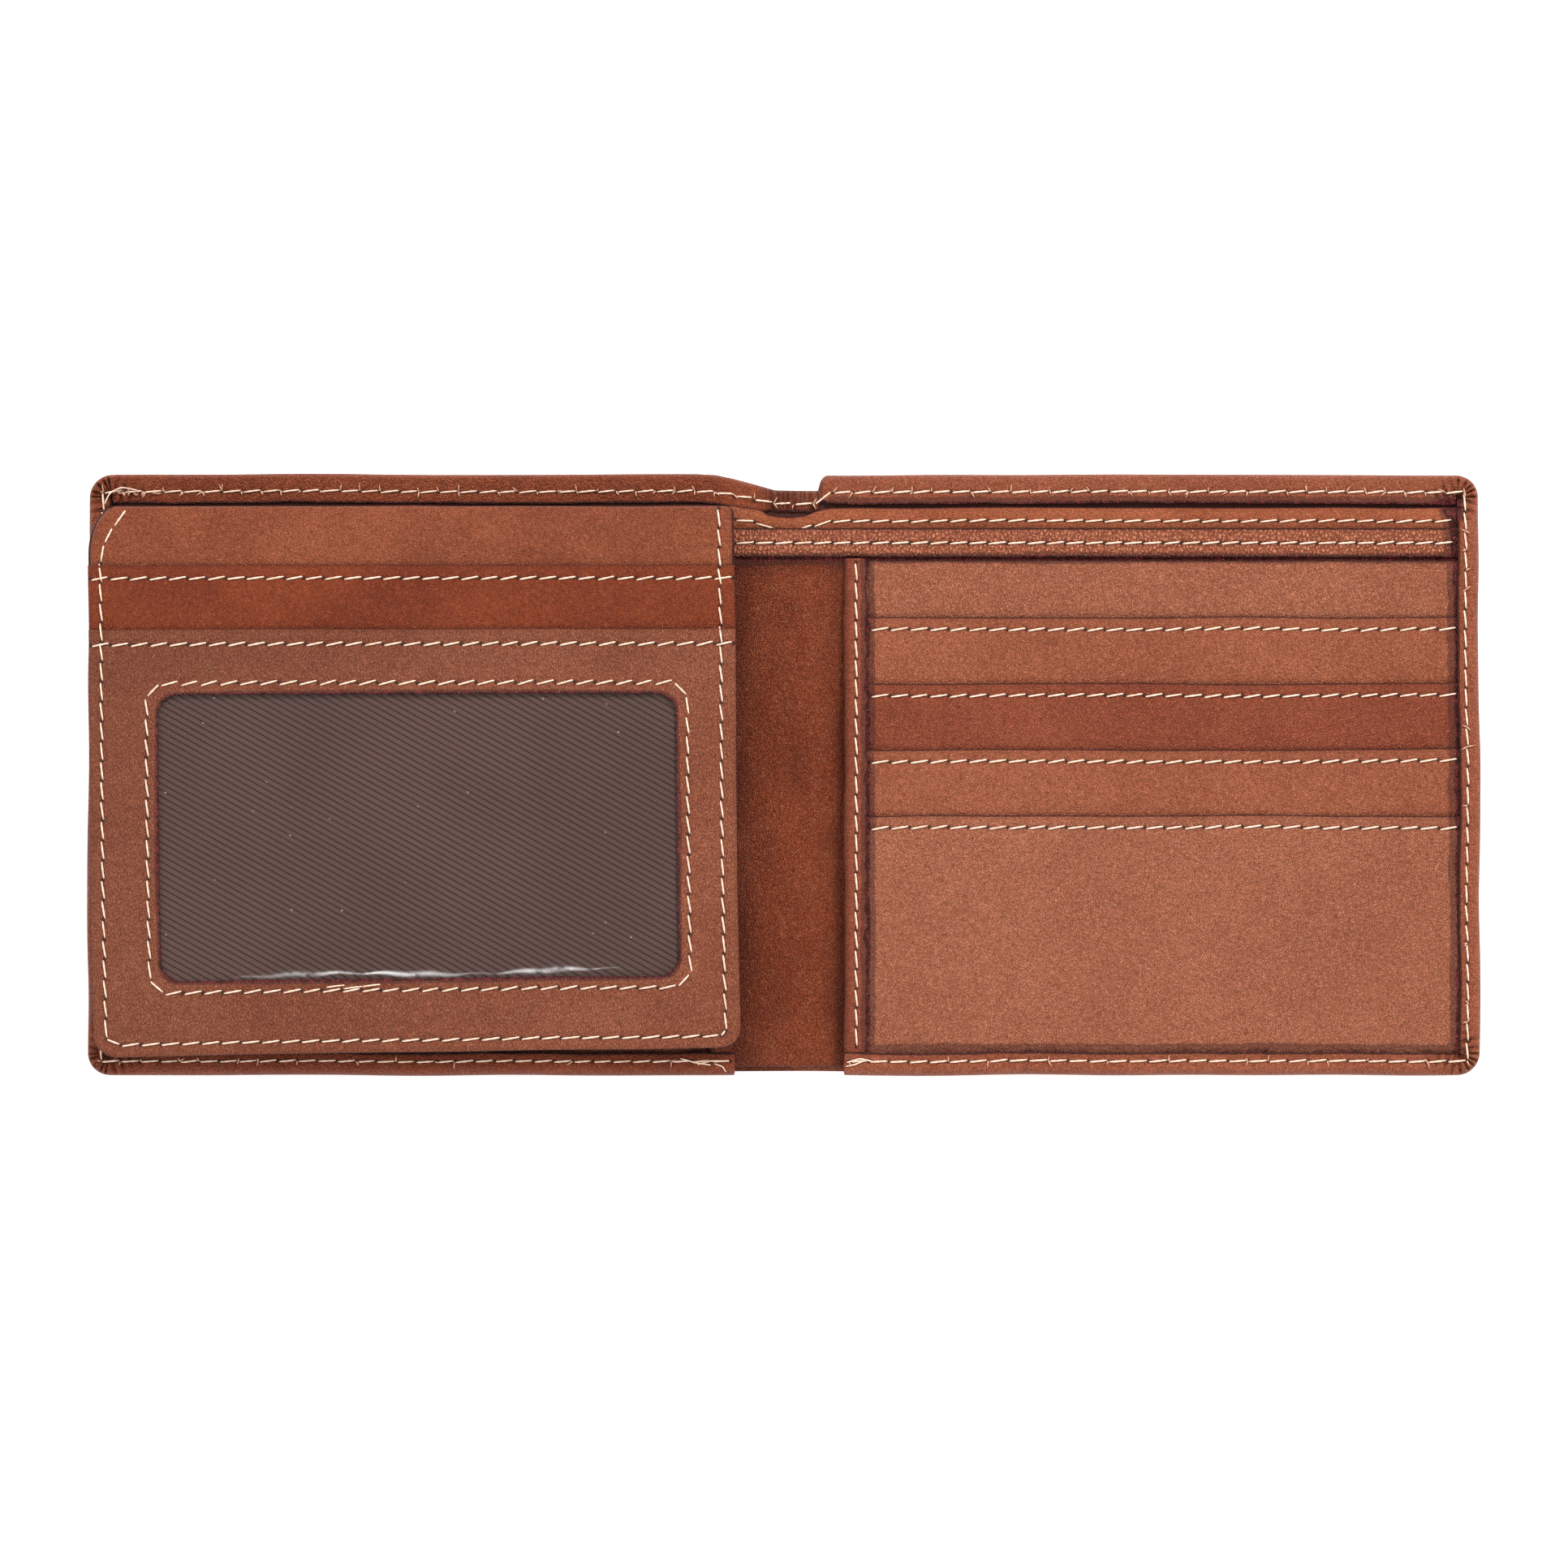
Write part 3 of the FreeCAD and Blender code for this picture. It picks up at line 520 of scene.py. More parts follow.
class Sheet:
    """A flat piece of leather or cloth: its outline, its level, its seams and how it is warped."""

    def __init__(self, low, high, bottom, gauge, radii=(0, 0, 0, 0), seams=(), roll=0.2, uneven=0.04, seed=1,
                 warp=None, extra=None, stain=None, shade=None, step=0.9, marks=((), ()), open_side=0):
        self.low, self.high, self.bottom, self.gauge = low, high, bottom, gauge
        self.radii, self.seams, self.roll, self.uneven, self.seed = radii, seams, roll, uneven, seed
        self.warp, self.extra, self.stain, self.step, self.marks = warp, extra, stain, step, marks
        self.shade, self.open_side = shade, open_side

    def lift(self, x, y):
        """The level of the sheet's underside."""
        level = self.bottom + self.uneven * swell(x, y, 24.0, self.seed)
        return level + (self.extra(x, y) if self.extra else 0.0)

    def face(self, x, y):
        """The level of its upper face, before thread presses it."""
        return self.lift(x, y) + self.gauge

    def pressed(self, x, y):
        total = np.zeros(np.broadcast(x, y).shape)
        for seam in self.seams:
            total = total + seam.pressed(x, y)
        return total

    def warped(self, x, y):
        return self.warp(x, y) if self.warp else (x, y)

    def lines(self):
        """The grid lines in X and in Y."""
        marks = {"x": list(self.marks[0]), "y": list(self.marks[1])}
        for seam in self.seams:
            marks[seam.along] += around(seam.holes)
            marks["y" if seam.along == "x" else "x"] += around([seam.at], SEAM_SIDES)
        limits = zip(self.low, self.high, "xy")
        return [grid_lines(low, high, self.step, marks[axis]) for low, high, axis in limits]

    def levels(self, x, y, rim, tuck=0.35):
        """How deep thread presses the sheet, and the levels of its face and underside, rolled at the rim."""
        press = self.pressed(x, y)
        near = np.clip(1 - rim / self.roll, 0, 1)
        drop = self.roll * (1 - np.sqrt(1 - near * near))
        top = self.face(x, y) - press - drop
        return press, top, np.minimum(self.lift(x, y) + drop * tuck, top - 0.04)

    def rounded(self, x, y):
        """Moves grid points so that the outline's corners are round; also gives the rim distance."""
        (x0, y0), (x1, y1) = self.low, self.high
        left = x - x0 + (99 if self.open_side < 0 else 0)
        right = x1 - x + (99 if self.open_side > 0 else 0)
        rim = np.minimum(np.minimum(left, right), np.minimum(y - y0, y1 - y))
        new_x, new_y = x.copy(), y.copy()
        for radius, (a, b) in zip(self.radii, CORNER_WAYS):
            if not radius:
                continue
            rx, ry = radius if isinstance(radius, tuple) else (radius, radius)
            cx = x0 + rx if a < 0 else x1 - rx
            cy = y0 + ry if b < 0 else y1 - ry
            u, v = (x - cx) * a / rx, (y - cy) * b / ry
            here = (u > 0) & (v > 0)
            u, v = np.where(here, u, 0), np.where(here, v, 0)
            ru, rv = u * np.sqrt(1 - v * v / 2), v * np.sqrt(1 - u * u / 2)
            new_x = np.where(here, cx + a * rx * ru, new_x)
            new_y = np.where(here, cy + b * ry * rv, new_y)
            rim = np.where(here, min(rx, ry) * (1 - np.hypot(ru, rv)), rim)
        return new_x, new_y, np.maximum(rim, 0)

    def corner_marks(self):
        """Extra grid lines inside the rounded corners."""
        (x0, y0), (x1, y1) = self.low, self.high
        xs, ys = [], []
        for radius, (a, b) in zip(self.radii, CORNER_WAYS):
            rx, ry = radius if isinstance(radius, tuple) else (radius, radius)
            steps = [k / 8 for k in range(1, 9)] if radius else []
            xs += [(x0 + rx * s if a < 0 else x1 - rx * s) for s in steps]
            ys += [(y0 + ry * s if b < 0 else y1 - ry * s) for s in steps]
        return xs, ys

    def build(self, name, materials):
        xs, ys = self.corner_marks()
        self.marks = (list(self.marks[0]) + xs, list(self.marks[1]) + ys)
        xs, ys = self.lines()
        x, y = np.meshgrid(xs, ys)
        x, y, rim = self.rounded(x, y)
        press, top, under = self.levels(x, y, rim)
        stain = self.stain(x, y) if self.stain else np.full(x.shape, FAR)
        shade = np.clip(self.shade(x, y), 0, 1) if self.shade else np.zeros(x.shape)
        points = both_faces(*self.warped(x, y), top, under)
        attributes = sheet_attributes(rim, stain, press, shade)
        return mesh_object(name, points, closed_faces(*x.shape), materials, attributes)


def sheet_attributes(rim, stain, press, shade):
    """Attributes for both faces; thread presses only the upper one."""
    values = {"rim": rim, "stain": stain, "shade": shade}
    attributes = {key: np.tile(value.ravel(), 2) for key, value in values.items()}
    attributes["press"] = np.concatenate([press.ravel(), np.zeros(press.size)])
    return attributes


def quads(rows, columns, offset=0, flip=False):
    index = offset + np.arange(rows * columns).reshape(rows, columns)
    a, b = index[:-1, :-1].ravel(), index[:-1, 1:].ravel()
    c, e = index[1:, 1:].ravel(), index[1:, :-1].ravel()
    order = (a, e, c, b) if flip else (a, b, c, e)
    return np.stack(order, -1).tolist()


def border(rows, columns, offset=0):
    """The grid's edge vertices, anticlockwise from above."""
    index = offset + np.arange(rows * columns).reshape(rows, columns)
    return np.concatenate([index[0, :-1], index[:-1, -1], index[-1, :0:-1], index[:0:-1, 0]])


def closed_faces(rows, columns):
    faces = quads(rows, columns) + quads(rows, columns, rows * columns, True)
    top, under = border(rows, columns), border(rows, columns, rows * columns)
    following = np.roll(np.arange(len(top)), -1)
    faces += np.stack([under, under[following], top[following], top], -1).tolist()
    return faces


# ---------------------------------------------------------------- thread


class Thread:
    """Collects stitches, needle holes and torn nicks, and makes one object of them."""

    RING, STATIONS = 8, 11
    HALF_WIDTH, HALF_HEIGHT = 0.142, 0.13

    def __init__(self, seed):
        self.rng = np.random.default_rng(seed)
        self.points, self.faces, self.slots = [], [], []
        self.count = 0

    def add(self, points, faces, slot_index):
        self.points.append(np.asarray(points))
        self.faces += [[v + self.count for v in f] for f in faces]
        self.slots += [slot_index] * len(faces)
        self.count += len(points)

    def strand(self, path, width=1.0, twist=7.0):
        """One stitch: a two-ply thread along a path of points."""
        path = np.asarray(path, dtype=float)
        ahead = np.gradient(path, axis=0)
        ahead /= np.linalg.norm(ahead, axis=1, keepdims=True)
        side = np.cross(ahead, (0, 0, 1))
        side /= np.maximum(np.linalg.norm(side, axis=1, keepdims=True), 1e-9)
        up = np.cross(side, ahead)
        angle = np.arange(self.RING) * 2 * math.pi / self.RING
        run = np.linspace(0, 1, len(path))
        phase = self.rng.uniform(0, 6)
        rings = []
        for p, s, u, t in zip(path, side, up, run):
            ply = 1 + 0.13 * np.cos(2 * (angle - twist * t - phase))
            end = 0.55 + 0.45 * math.sin(math.pi * min(1.0, max(0.0, t * 0.94 + 0.03)))**0.4
            wide = self.HALF_WIDTH * width * end * ply
            tall = self.HALF_HEIGHT * width * end * ply
            rings.append(p + np.outer(np.cos(angle) * wide, s) + np.outer(np.sin(angle) * tall, u))
        faces = tube_faces(len(path), self.RING)
        faces.append(list(range(self.RING)))
        last = (len(path) - 1) * self.RING
        faces.append([last + i for i in reversed(range(self.RING))])
        self.add(np.concatenate(rings), faces, 0)

    def hole(self, place, turn=0.0, reach=0.3):
        """A needle hole: a dark lens sunk in the dimple, drawn out across the seam."""
        angle = np.arange(8) * math.pi / 4
        wide, deep, half = 0.12, reach, 0.03
        ring = np.stack([np.cos(angle) * wide, np.sin(angle) * deep, np.zeros(8)], -1)
        c, s = math.cos(turn), math.sin(turn)
        ring = np.stack([ring[:, 0] * c - ring[:, 1] * s, ring[:, 0] * s + ring[:, 1] * c, ring[:, 2]], -1)
        points = np.concatenate([ring, [[0, 0, half], [0, 0, -half]]]) + place
        faces = []
        for i in range(8):
            k = (i + 1) % 8
            faces += [[i, k, 8], [k, i, 9]]
        self.add(points, faces, 1)

    def nick(self, place, direction, length):
        """A sliver of torn leather that stands up beside a hole."""
        ahead = np.array([math.cos(direction), math.sin(direction), 0.25])
        side = np.array([-math.sin(direction), math.cos(direction), 0.0])
        wide = 0.17
        base = np.asarray(place)
        tip = base + ahead * length
        middle = base + ahead * length * 0.5 + (0, 0, 0.08)
        points = [
            base - side * wide, base + side * wide, middle + side * wide * 0.6, middle - side * wide * 0.6,
            tip, base + (0, 0, 0.13), middle + (0, 0, 0.1),
        ]
        faces = [[0, 3, 2, 1], [3, 4, 2], [0, 5, 6, 3], [5, 1, 2, 6], [3, 6, 4], [6, 2, 4], [0, 1, 5]]
        self.add(points, faces, 2)

    def stitch(self, start, end, level, slant=0.0):
        """A stitch between two holes; level(x, y) is the leather's face."""
        start, end = np.asarray(start, float), np.asarray(end, float)
        ahead = end - start
        length = np.linalg.norm(ahead)
        ahead /= length
        side = np.array([-ahead[1], ahead[0]])
        slant = slant + self.rng.normal(0, 0.025)
        inset = 0.13 + abs(self.rng.normal(0, 0.06))
        rise = self.rng.uniform(-0.02, 0.03)
        path = []
        for t in np.linspace(0, 1, self.STATIONS):
            spot = start + ahead * (inset + (length - 2 * inset) * t) + side * slant * (2 * t - 1)
            crown = 1 - abs(2 * t - 1) ** 4.5
            z = float(level(spot[0], spot[1])) - 0.26 + (0.36 + rise) * crown
            path.append((spot[0], spot[1], z))
        self.strand(path)

    def seam(self, seam, sheet, level=None):
        """All the stitches of a straight seam on a sheet, with their holes."""
        level = level or sheet.face
        turn = 0.0 if seam.along == "x" else math.pi / 2
        for a, b in zip(seam.holes, seam.holes[1:]):
            self.warped_stitch(seam.spot(a), seam.spot(b), sheet, level, seam.slant)
        for hole in seam.holes:
            z = float(at(level, seam.spot(hole))) - 0.12
            x, y = (float(v) for v in at(sheet.warped, seam.spot(hole)))
            self.hole((x, y, z), turn + self.rng.normal(0.35, 0.15), 0.14 + 0.8 * abs(seam.slant))
            if seam.torn and self.rng.random() < seam.torn:
                self.tear((x, y, z + 0.13), turn)

    def tear(self, place, turn):
        for _ in range(self.rng.integers(1, 3)):
            way = turn + self.rng.choice((-1, 1)) * (math.pi / 2 + self.rng.normal(0, 0.5))
            self.nick(place, way, self.rng.uniform(0.5, 1.35))

    def warped_stitch(self, a, b, sheet, level, slant):
        """A stitch between two holes of the flat sheet, which follows the sheet where it is warped."""
        wa, wb = ([float(v) for v in at(sheet.warped, place)] for place in (a, b))
        halfway = ((a[0] + b[0]) / 2, (a[1] + b[1]) / 2)
        first, middle, last = (float(at(level, place)) for place in (a, halfway, b))
        pull = 2 * middle - (first + last) / 2
        ahead = np.array(wb) - np.array(wa)
        length_sq = float(ahead @ ahead)

        def along_level(x, y):
            t = float(np.clip(((x - wa[0]) * ahead[0] + (y - wa[1]) * ahead[1]) / length_sq, 0, 1))
            return first * (1 - t) ** 2 + pull * 2 * t * (1 - t) + last * t**2

        self.stitch(wa, wb, along_level, slant)

    def build(self, name, *nodes):
        """The thread of one piece; nodes are the CAD nodes it stands for."""
        materials = [MATERIALS["thread"], MATERIALS["hole"], MATERIALS["nick"]]
        thing = mesh_object(name, np.concatenate(self.points), self.faces, materials, face_slots=self.slots)
        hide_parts(*nodes)
        return thing


# ---------------------------------------------------------------- materials by name


GLOSS = 0.022
LIGHT_LEVEL = 1.12


def hide(r, g, b):
    """The base colour of a leather that looks like this, 0 to 255, in the scene's light."""
    seen = [((v / 255 + 0.055) / 1.055) ** 2.4 for v in (r, g, b)]
    return tuple(max(v - GLOSS, 0.004) / LIGHT_LEVEL for v in seen)


MATERIALS = {
    "cover_left": leather("cover_leather_left", hide(152, 82, 58), 1.0, 0.36, mottle=0.5, edge=0.3),
    "cover_right": leather("cover_leather_right", hide(170, 98, 72), 0.9, 0.36, mottle=0.35, edge=0.3),
    "panel": leather("panel_leather", hide(173, 102, 75), 0.9, 0.34, mottle=0.3, edge=0.2),
    "panel_dark": leather("panel_leather_dark", hide(155, 84, 62), 0.9, 0.36, mottle=0.35, edge=0.2),
    "panel_light": leather("panel_leather_light", hide(180, 111, 84), 1.0, 0.36, (1.4, 0.8), 0.25, edge=0.2),
    "flap": leather("flap_leather", hide(156, 88, 63), 0.8, 0.34, mottle=0.55, edge=-0.15),
    "flap_slot": leather("flap_slot_leather", hide(141, 71, 49), 0.7, 0.3, mottle=0.5, edge=0.08),
    "flap_window": leather("flap_window_leather", hide(155, 93, 70), 0.9, 0.42, (1.3, 0.7), 0.4, edge=0.08),
    "trim": leather("divider_leather", hide(172, 99, 70), 0.6, 0.34, mottle=0.4, edge=0.2),
    "grained": leather("grained_leather", hide(192, 117, 88), 2.4, 0.56, (1.0, 0.75), edge=0.3),
    "spine": leather("spine_leather", hide(152, 80, 57), 1.3, 0.36, mottle=0.7, rough=0.42, gold=0.6),
    "binding": leather("binding_leather", hide(163, 90, 67), 0.7, 0.3, streaks=0.6, edge=0.25),
    "thread": thread_material(),
    "hole": speckled_material("needle_hole", 3000.0, (0.016, 0.006, 0.004), (0.050, 0.017, 0.010), 0.9),
    "nick": speckled_material("torn_leather", 2600.0, (0.40, 0.16, 0.09), (0.68, 0.40, 0.27), 0.8),
    "lining": cloth_material("lining_cloth", (0.045, 0.013, 0.010), (0.105, 0.040, 0.027), 0.00035),
    "twill": twill_material(),
    "film": film_material(),
}

# ---------------------------------------------------------------- places taken from the frame

JOINTS = {j["name"]: j for j in frame["record"]["behaviour"]["joints"]}
FOLD_LEFT = JOINTS["spine_fold"]["pos_m"][0] / MM
FOLD_RIGHT = JOINTS["right_fold"]["pos_m"][0] / MM
MIDDLE = (FOLD_LEFT + FOLD_RIGHT) / 2
HALF_WIDTH = span("outer_cover_right")[1][0]
HALF_DEPTH = span("outer_cover_right")[1][1]
SPINE_LEFT = span("hem_thread_left")[1][0]
SPINE_RIGHT = span("right_panel_binding")[0][0]
HEM_TOP = span("outer_cover_right")[1][2]
COVER = span("outer_cover_spine")[1][2]
TOP_HEM_LEVEL = span("bill_lining_right")[1][2] + 0.55
CORNER = 3.4
SLOTS = 4


def bend(thing):
    """Bakes a piece's placing into its mesh; the piece is not bent at a fold line."""
    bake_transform(thing)


def stack_heights():
    """Y and Z of the hem's face beside the stepped slots, from the foot to the top edge."""
    tops = [span(f"right_slot_leaf_{n}")[1] for n in range(1, SLOTS + 1)]
    base = span("right_panel_base")[1]
    trim = span("inner_wall_trim_right")[1]
    divider = span("divider_trim_right")[1]
    leather_gauge = 0.55
    places = [(-HALF_DEPTH, HEM_TOP), (tops[-1][1], HEM_TOP)]
    places += [(tops[0][1], tops[0][2] + leather_gauge), (base[1], base[2] + leather_gauge)]
    places += [(trim[1] + 0.2, trim[2] + leather_gauge), (divider[1] + 0.4, divider[2] + leather_gauge)]
    places += [(divider[1] + 1.8, TOP_HEM_LEVEL), (HALF_DEPTH, TOP_HEM_LEVEL)]
    ys, zs = zip(*places)
    return np.array(ys), np.array(zs)


STACK_Y, STACK_Z = stack_heights()


def side_height(y):
    return np.interp(y, STACK_Y, STACK_Z)


# ---------------------------------------------------------------- outer cover with its turned hems

DIP_TOP = 43.6
NOTCH_STEP = (5.3, 6.7)
HEM_AT_SIDE, HEM_AT_FOOT, HEM_AT_TOP = 3.3, 3.5, 4.4


def top_line(x):
    """The Y of the cover's top edge: a long dip on the left of the spine, and a sharp step on its right."""
    x = np.asarray(x, float)
    left = np.interp(x, (-13.5, -10.5, -7.6, -4.5, -1.4), (HALF_DEPTH, 45.85, 45.25, 44.45, DIP_TOP))
    t = np.clip((x - NOTCH_STEP[0]) / (NOTCH_STEP[1] - NOTCH_STEP[0]), 0, 1)
    right = DIP_TOP + (HALF_DEPTH - DIP_TOP) * np.sqrt(np.clip(1 - (1 - t) ** 2, 0, 1))
    wave = 0.10 * swell(x, x * 0, 38.0, 5)
    return np.where(x < MIDDLE, left, right) + wave


def foot_line(x):
    x = np.asarray(x, float)
    inside = (x > SPINE_LEFT) & (x < SPINE_RIGHT)
    return np.where(inside, -45.6, -HALF_DEPTH) + 0.08 * swell(x, x * 0 + 9, 33.0, 6)


class Cover:
    """One half of the cover, with half of the spine."""

    BASE_INSET = 0.6
    INNER = 0.9
    # how far each hem seam lies in from the outline
    SIDE_IN, FOOT_IN, TOP_IN = 2.1, 2.2, 2.6

    def __init__(self, side):
        self.side = side
        self.name = "left" if side < 0 else "right"
        side_at = side * (HALF_WIDTH - self.SIDE_IN)
        foot_at, top_at = -HALF_DEPTH + self.FOOT_IN, HALF_DEPTH - self.TOP_IN
        foot_end = SPINE_LEFT - 0.6 if side < 0 else SPINE_RIGHT + 0.7
        self.foot_seam = Seam("x", foot_at, side_at, foot_end, 0.12, torn=0.5)
        self.top_seam = Seam("x", top_at, side_at, MIDDLE, 0.15, torn=0.95)
        self.side_seam = Seam("y", side_at, foot_at, top_at, 0.12, torn=0.4)

    def warp(self, x, y):
        low, high = foot_line(x), top_line(x)
        share = (y + HALF_DEPTH) / (2 * HALF_DEPTH)
        new_y = low + (high - low) * share
        wave = 0.12 * swell(y * 1.0, y * 0 + 3 * self.side, 30.0, 8)
        new_x = x + wave * np.clip((np.abs(x) - 80) / 26, 0, 1)
        return new_x, new_y

    def warped(self, x, y):
        """Seams keep their distance from the edge, except that they cross the dip level."""
        x, y = np.asarray(x, float), np.asarray(y, float)
        new_x, new_y = self.warp(x, y)
        dip = (HALF_DEPTH - top_line(x)) / (HALF_DEPTH - DIP_TOP)
        return new_x, new_y + np.where(y > 40, 0.55 * np.clip(dip, 0, 1), 0)

    def height(self, x, y):
        """The hem's face."""
        x, y = np.asarray(x, float), np.asarray(y, float)
        side_share = np.clip((np.abs(x) - (HALF_WIDTH - 4.6)) / 1.0, 0, 1)
        foot_share = np.clip((-HALF_DEPTH + 4.5 - y) / 1.0, 0, 1)
        notch = self.notch(x)
        top = TOP_HEM_LEVEL - 0.25 * notch + 0.35 * (x > NOTCH_STEP[0]) * (1 - notch)
        tall = side_height(y)
        level = np.maximum(top, tall * side_share)
        level = np.maximum(level, HEM_TOP * foot_share)
        return level + 0.05 * swell(x, y, 14.0, 11)

    def notch(self, x):
        left = np.clip((x + 4.0) / 2.0, 0, 1)
        right = np.clip((NOTCH_STEP[1] - x) / (NOTCH_STEP[1] - NOTCH_STEP[0]), 0, 1)
        return left * right

    def build(self):
        outer_x = self.side * HALF_WIDTH
        low_x, high_x = min(MIDDLE, outer_x), max(MIDDLE, outer_x)
        radii = (CORNER, 0, 0, CORNER) if self.side < 0 else (0, CORNER, CORNER, 0)
        sheet = Sheet((low_x, -HALF_DEPTH), (high_x, HALF_DEPTH), 0, COVER, radii, step=1.6)
        fine = [k * 0.22 for k in range(1, 33)]
        xs = [outer_x - self.side * f for f in fine] + around(self.foot_seam.holes)
        xs += around(self.top_seam.holes)
        if self.side > 0:
            xs += list(np.arange(NOTCH_STEP[0] - 0.2, NOTCH_STEP[1] + 0.3, 0.12))
            xs += list(np.arange(1.7, 5.3, 0.3)) + around([SPINE_RIGHT], (-0.06, 0.06))
        else:
            xs += list(np.arange(-13.0, 1.3, 0.3)) + around([SPINE_LEFT], (-0.06, 0.06))
        ys = [e * (HALF_DEPTH - f) for f in fine for e in (-1, 1)] + around(self.side_seam.holes)
        sheet.marks = (xs, ys)
        xs, ys = sheet.lines()
        x, y = np.meshgrid(xs, ys)
        x, y, _ = sheet.rounded(x, y)
        rows, columns = x.shape
        loop = border(rows, columns)
        bx, by = x.ravel()[loop], y.ravel()[loop]
        nx, ny = self.normals(bx, by)
        rings, attributes = self.rings(bx, by, nx, ny)
        grid = self.plate(x, y, self.BASE_INSET, 0.0)
        inner = self.plate(x, y, self.INNER, COVER)
        count = len(loop)
        points = np.concatenate([grid, inner] + rings)
        faces = quads(rows, columns, 0, True) + quads(rows, columns, rows * columns, False)
        start = 2 * rows * columns
        following = np.roll(np.arange(count), -1)
        loops = [loop] + [start + k * count + np.arange(count) for k in range(len(rings))]
        loops.append(loop + rows * columns)
        for low, high in zip(loops, loops[1:]):
            faces += np.stack([low, low[following], high[following], high], -1).tolist()
        rim = np.concatenate([np.full(start, 5.0)] + [np.full(count, 1.0) * a[0] for a in attributes])
        press = np.concatenate([np.zeros(start)] + [a[1] for a in attributes])
        px, py = points[:, 0], points[:, 1]
        top_hem = py > 38
        right_hem = top_hem & (px > NOTCH_STEP[1])
        stain = np.where(right_hem, rim * 1.05 + 0.22, FAR) - corner_blot(px, py)
        # painted shade in the creases of the gathered notch at the top of the spine; the top right hem is a
        # little darker all along
        gathers = np.sin(px * 7.3 + 1.4 * np.sin(px * 2.1) + 0.5 * py)
        shade = np.where(right_hem, 0.10, self.notch(px) * top_hem * (0.78 + 0.36 * gathers))
        thing = mesh_object(
            f"cover_{self.name}", points, faces, [MATERIALS[f"cover_{self.name}"]],
            {"rim": rim, "press": press, "stain": stain, "shade": shade},
        )
        clean(thing)
        return thing

    def plate(self, x, y, inset, z):
        """A flat face of the cover, drawn in from the outline so that the rounded edge can meet it."""
        band = 6.0
        side_share = np.clip((np.abs(x) - HALF_WIDTH + band) / band, 0, 1)
        end_share = np.clip((np.abs(y) - HALF_DEPTH + band) / band, 0, 1)
        px, py = self.warp(x, y)
        px = px - self.side * inset * side_share
        py = py - np.sign(y) * inset * end_share
        return np.stack([px, py, np.full_like(px, z)], -1).reshape(-1, 3)

    def normals(self, x, y):
        """Inward normals of the outline at its edge vertices."""
        outer = self.side * HALF_WIDTH
        cx, cy = outer - self.side * CORNER, (HALF_DEPTH - CORNER)
        nx, ny = np.zeros_like(x), np.zeros_like(y)
        edge = 1e-6
        on_side = np.abs(x - outer) < edge
        on_top, on_foot = np.abs(y - HALF_DEPTH) < edge, np.abs(y + HALF_DEPTH) < edge
        nx[on_side] = -self.side
        ny[on_top & ~on_side] = -1
        ny[on_foot & ~on_side] = 1
        corner = ((x - cx) * self.side > edge) & (np.abs(y) > cy + edge)
        reach_x, reach_y = x - cx, y - np.sign(y) * cy
        reach = np.maximum(np.hypot(reach_x, reach_y), edge)
        nx = np.where(corner, -reach_x / reach, nx)
        ny = np.where(corner, -reach_y / reach, ny)
        return nx, ny

    def hemness(self, x, y):
        """1 where the leather is turned over, 0 at the spine's foot and at the cut in mid-spine."""
        inside = (x > SPINE_LEFT) & (x < SPINE_RIGHT) & (y < 0)
        cut = (np.abs(x - MIDDLE) < 1e-6) & (np.abs(y) < HALF_DEPTH - 1e-6)
        return np.where(inside | cut, 0.0, 1.0)

    def widths(self, x, nx, ny):
        """How wide the hem is at each edge vertex."""
        top = HEM_AT_TOP - 1.2 * self.notch(x)
        wide = HEM_AT_SIDE * nx**2 + np.where(ny > 0, HEM_AT_FOOT, top) * ny**2
        corner = (np.abs(nx) > 0.01) & (np.abs(ny) > 0.01)
        return np.where(corner, np.minimum(wide, CORNER - 0.15), wide)

    def rings(self, x, y, nx, ny):
        """The hem's cross-section at each edge vertex, from the underside round to the inner plate."""
        wide = self.widths(x, nx, ny)
        wide = wide + 0.07 * swell(x, y, 14.0, 21) + 0.03 * swell(x, y, 2.5, 22)
        hem = self.hemness(x, y)
        rise = self.height(x, y)
        base = self.warp(x, y)
        corner = (np.abs(nx) > 0.01) & (np.abs(ny) > 0.01)
        turn = np.arctan2(ny, nx)
        ends = np.where(np.abs(ny) > np.abs(nx), HALF_WIDTH - np.abs(x), HALF_DEPTH - np.abs(y))
        self.past_corner = np.maximum(ends - CORNER, 0.0)
        radius = np.minimum(1.35, 0.42 * rise)
        rings, attributes = [], []

        def ring(d, z, rim, press=None):
            press = np.zeros_like(z) if press is None else press
            plain_z = np.minimum(z, COVER)
            d, z = d * hem, np.where(hem > 0, z, plain_z)
            px, py = base[0] + nx * d, base[1] + ny * d
            rings.append(np.stack([px, py, z - press * hem], -1))
            attributes.append((rim, press * hem))

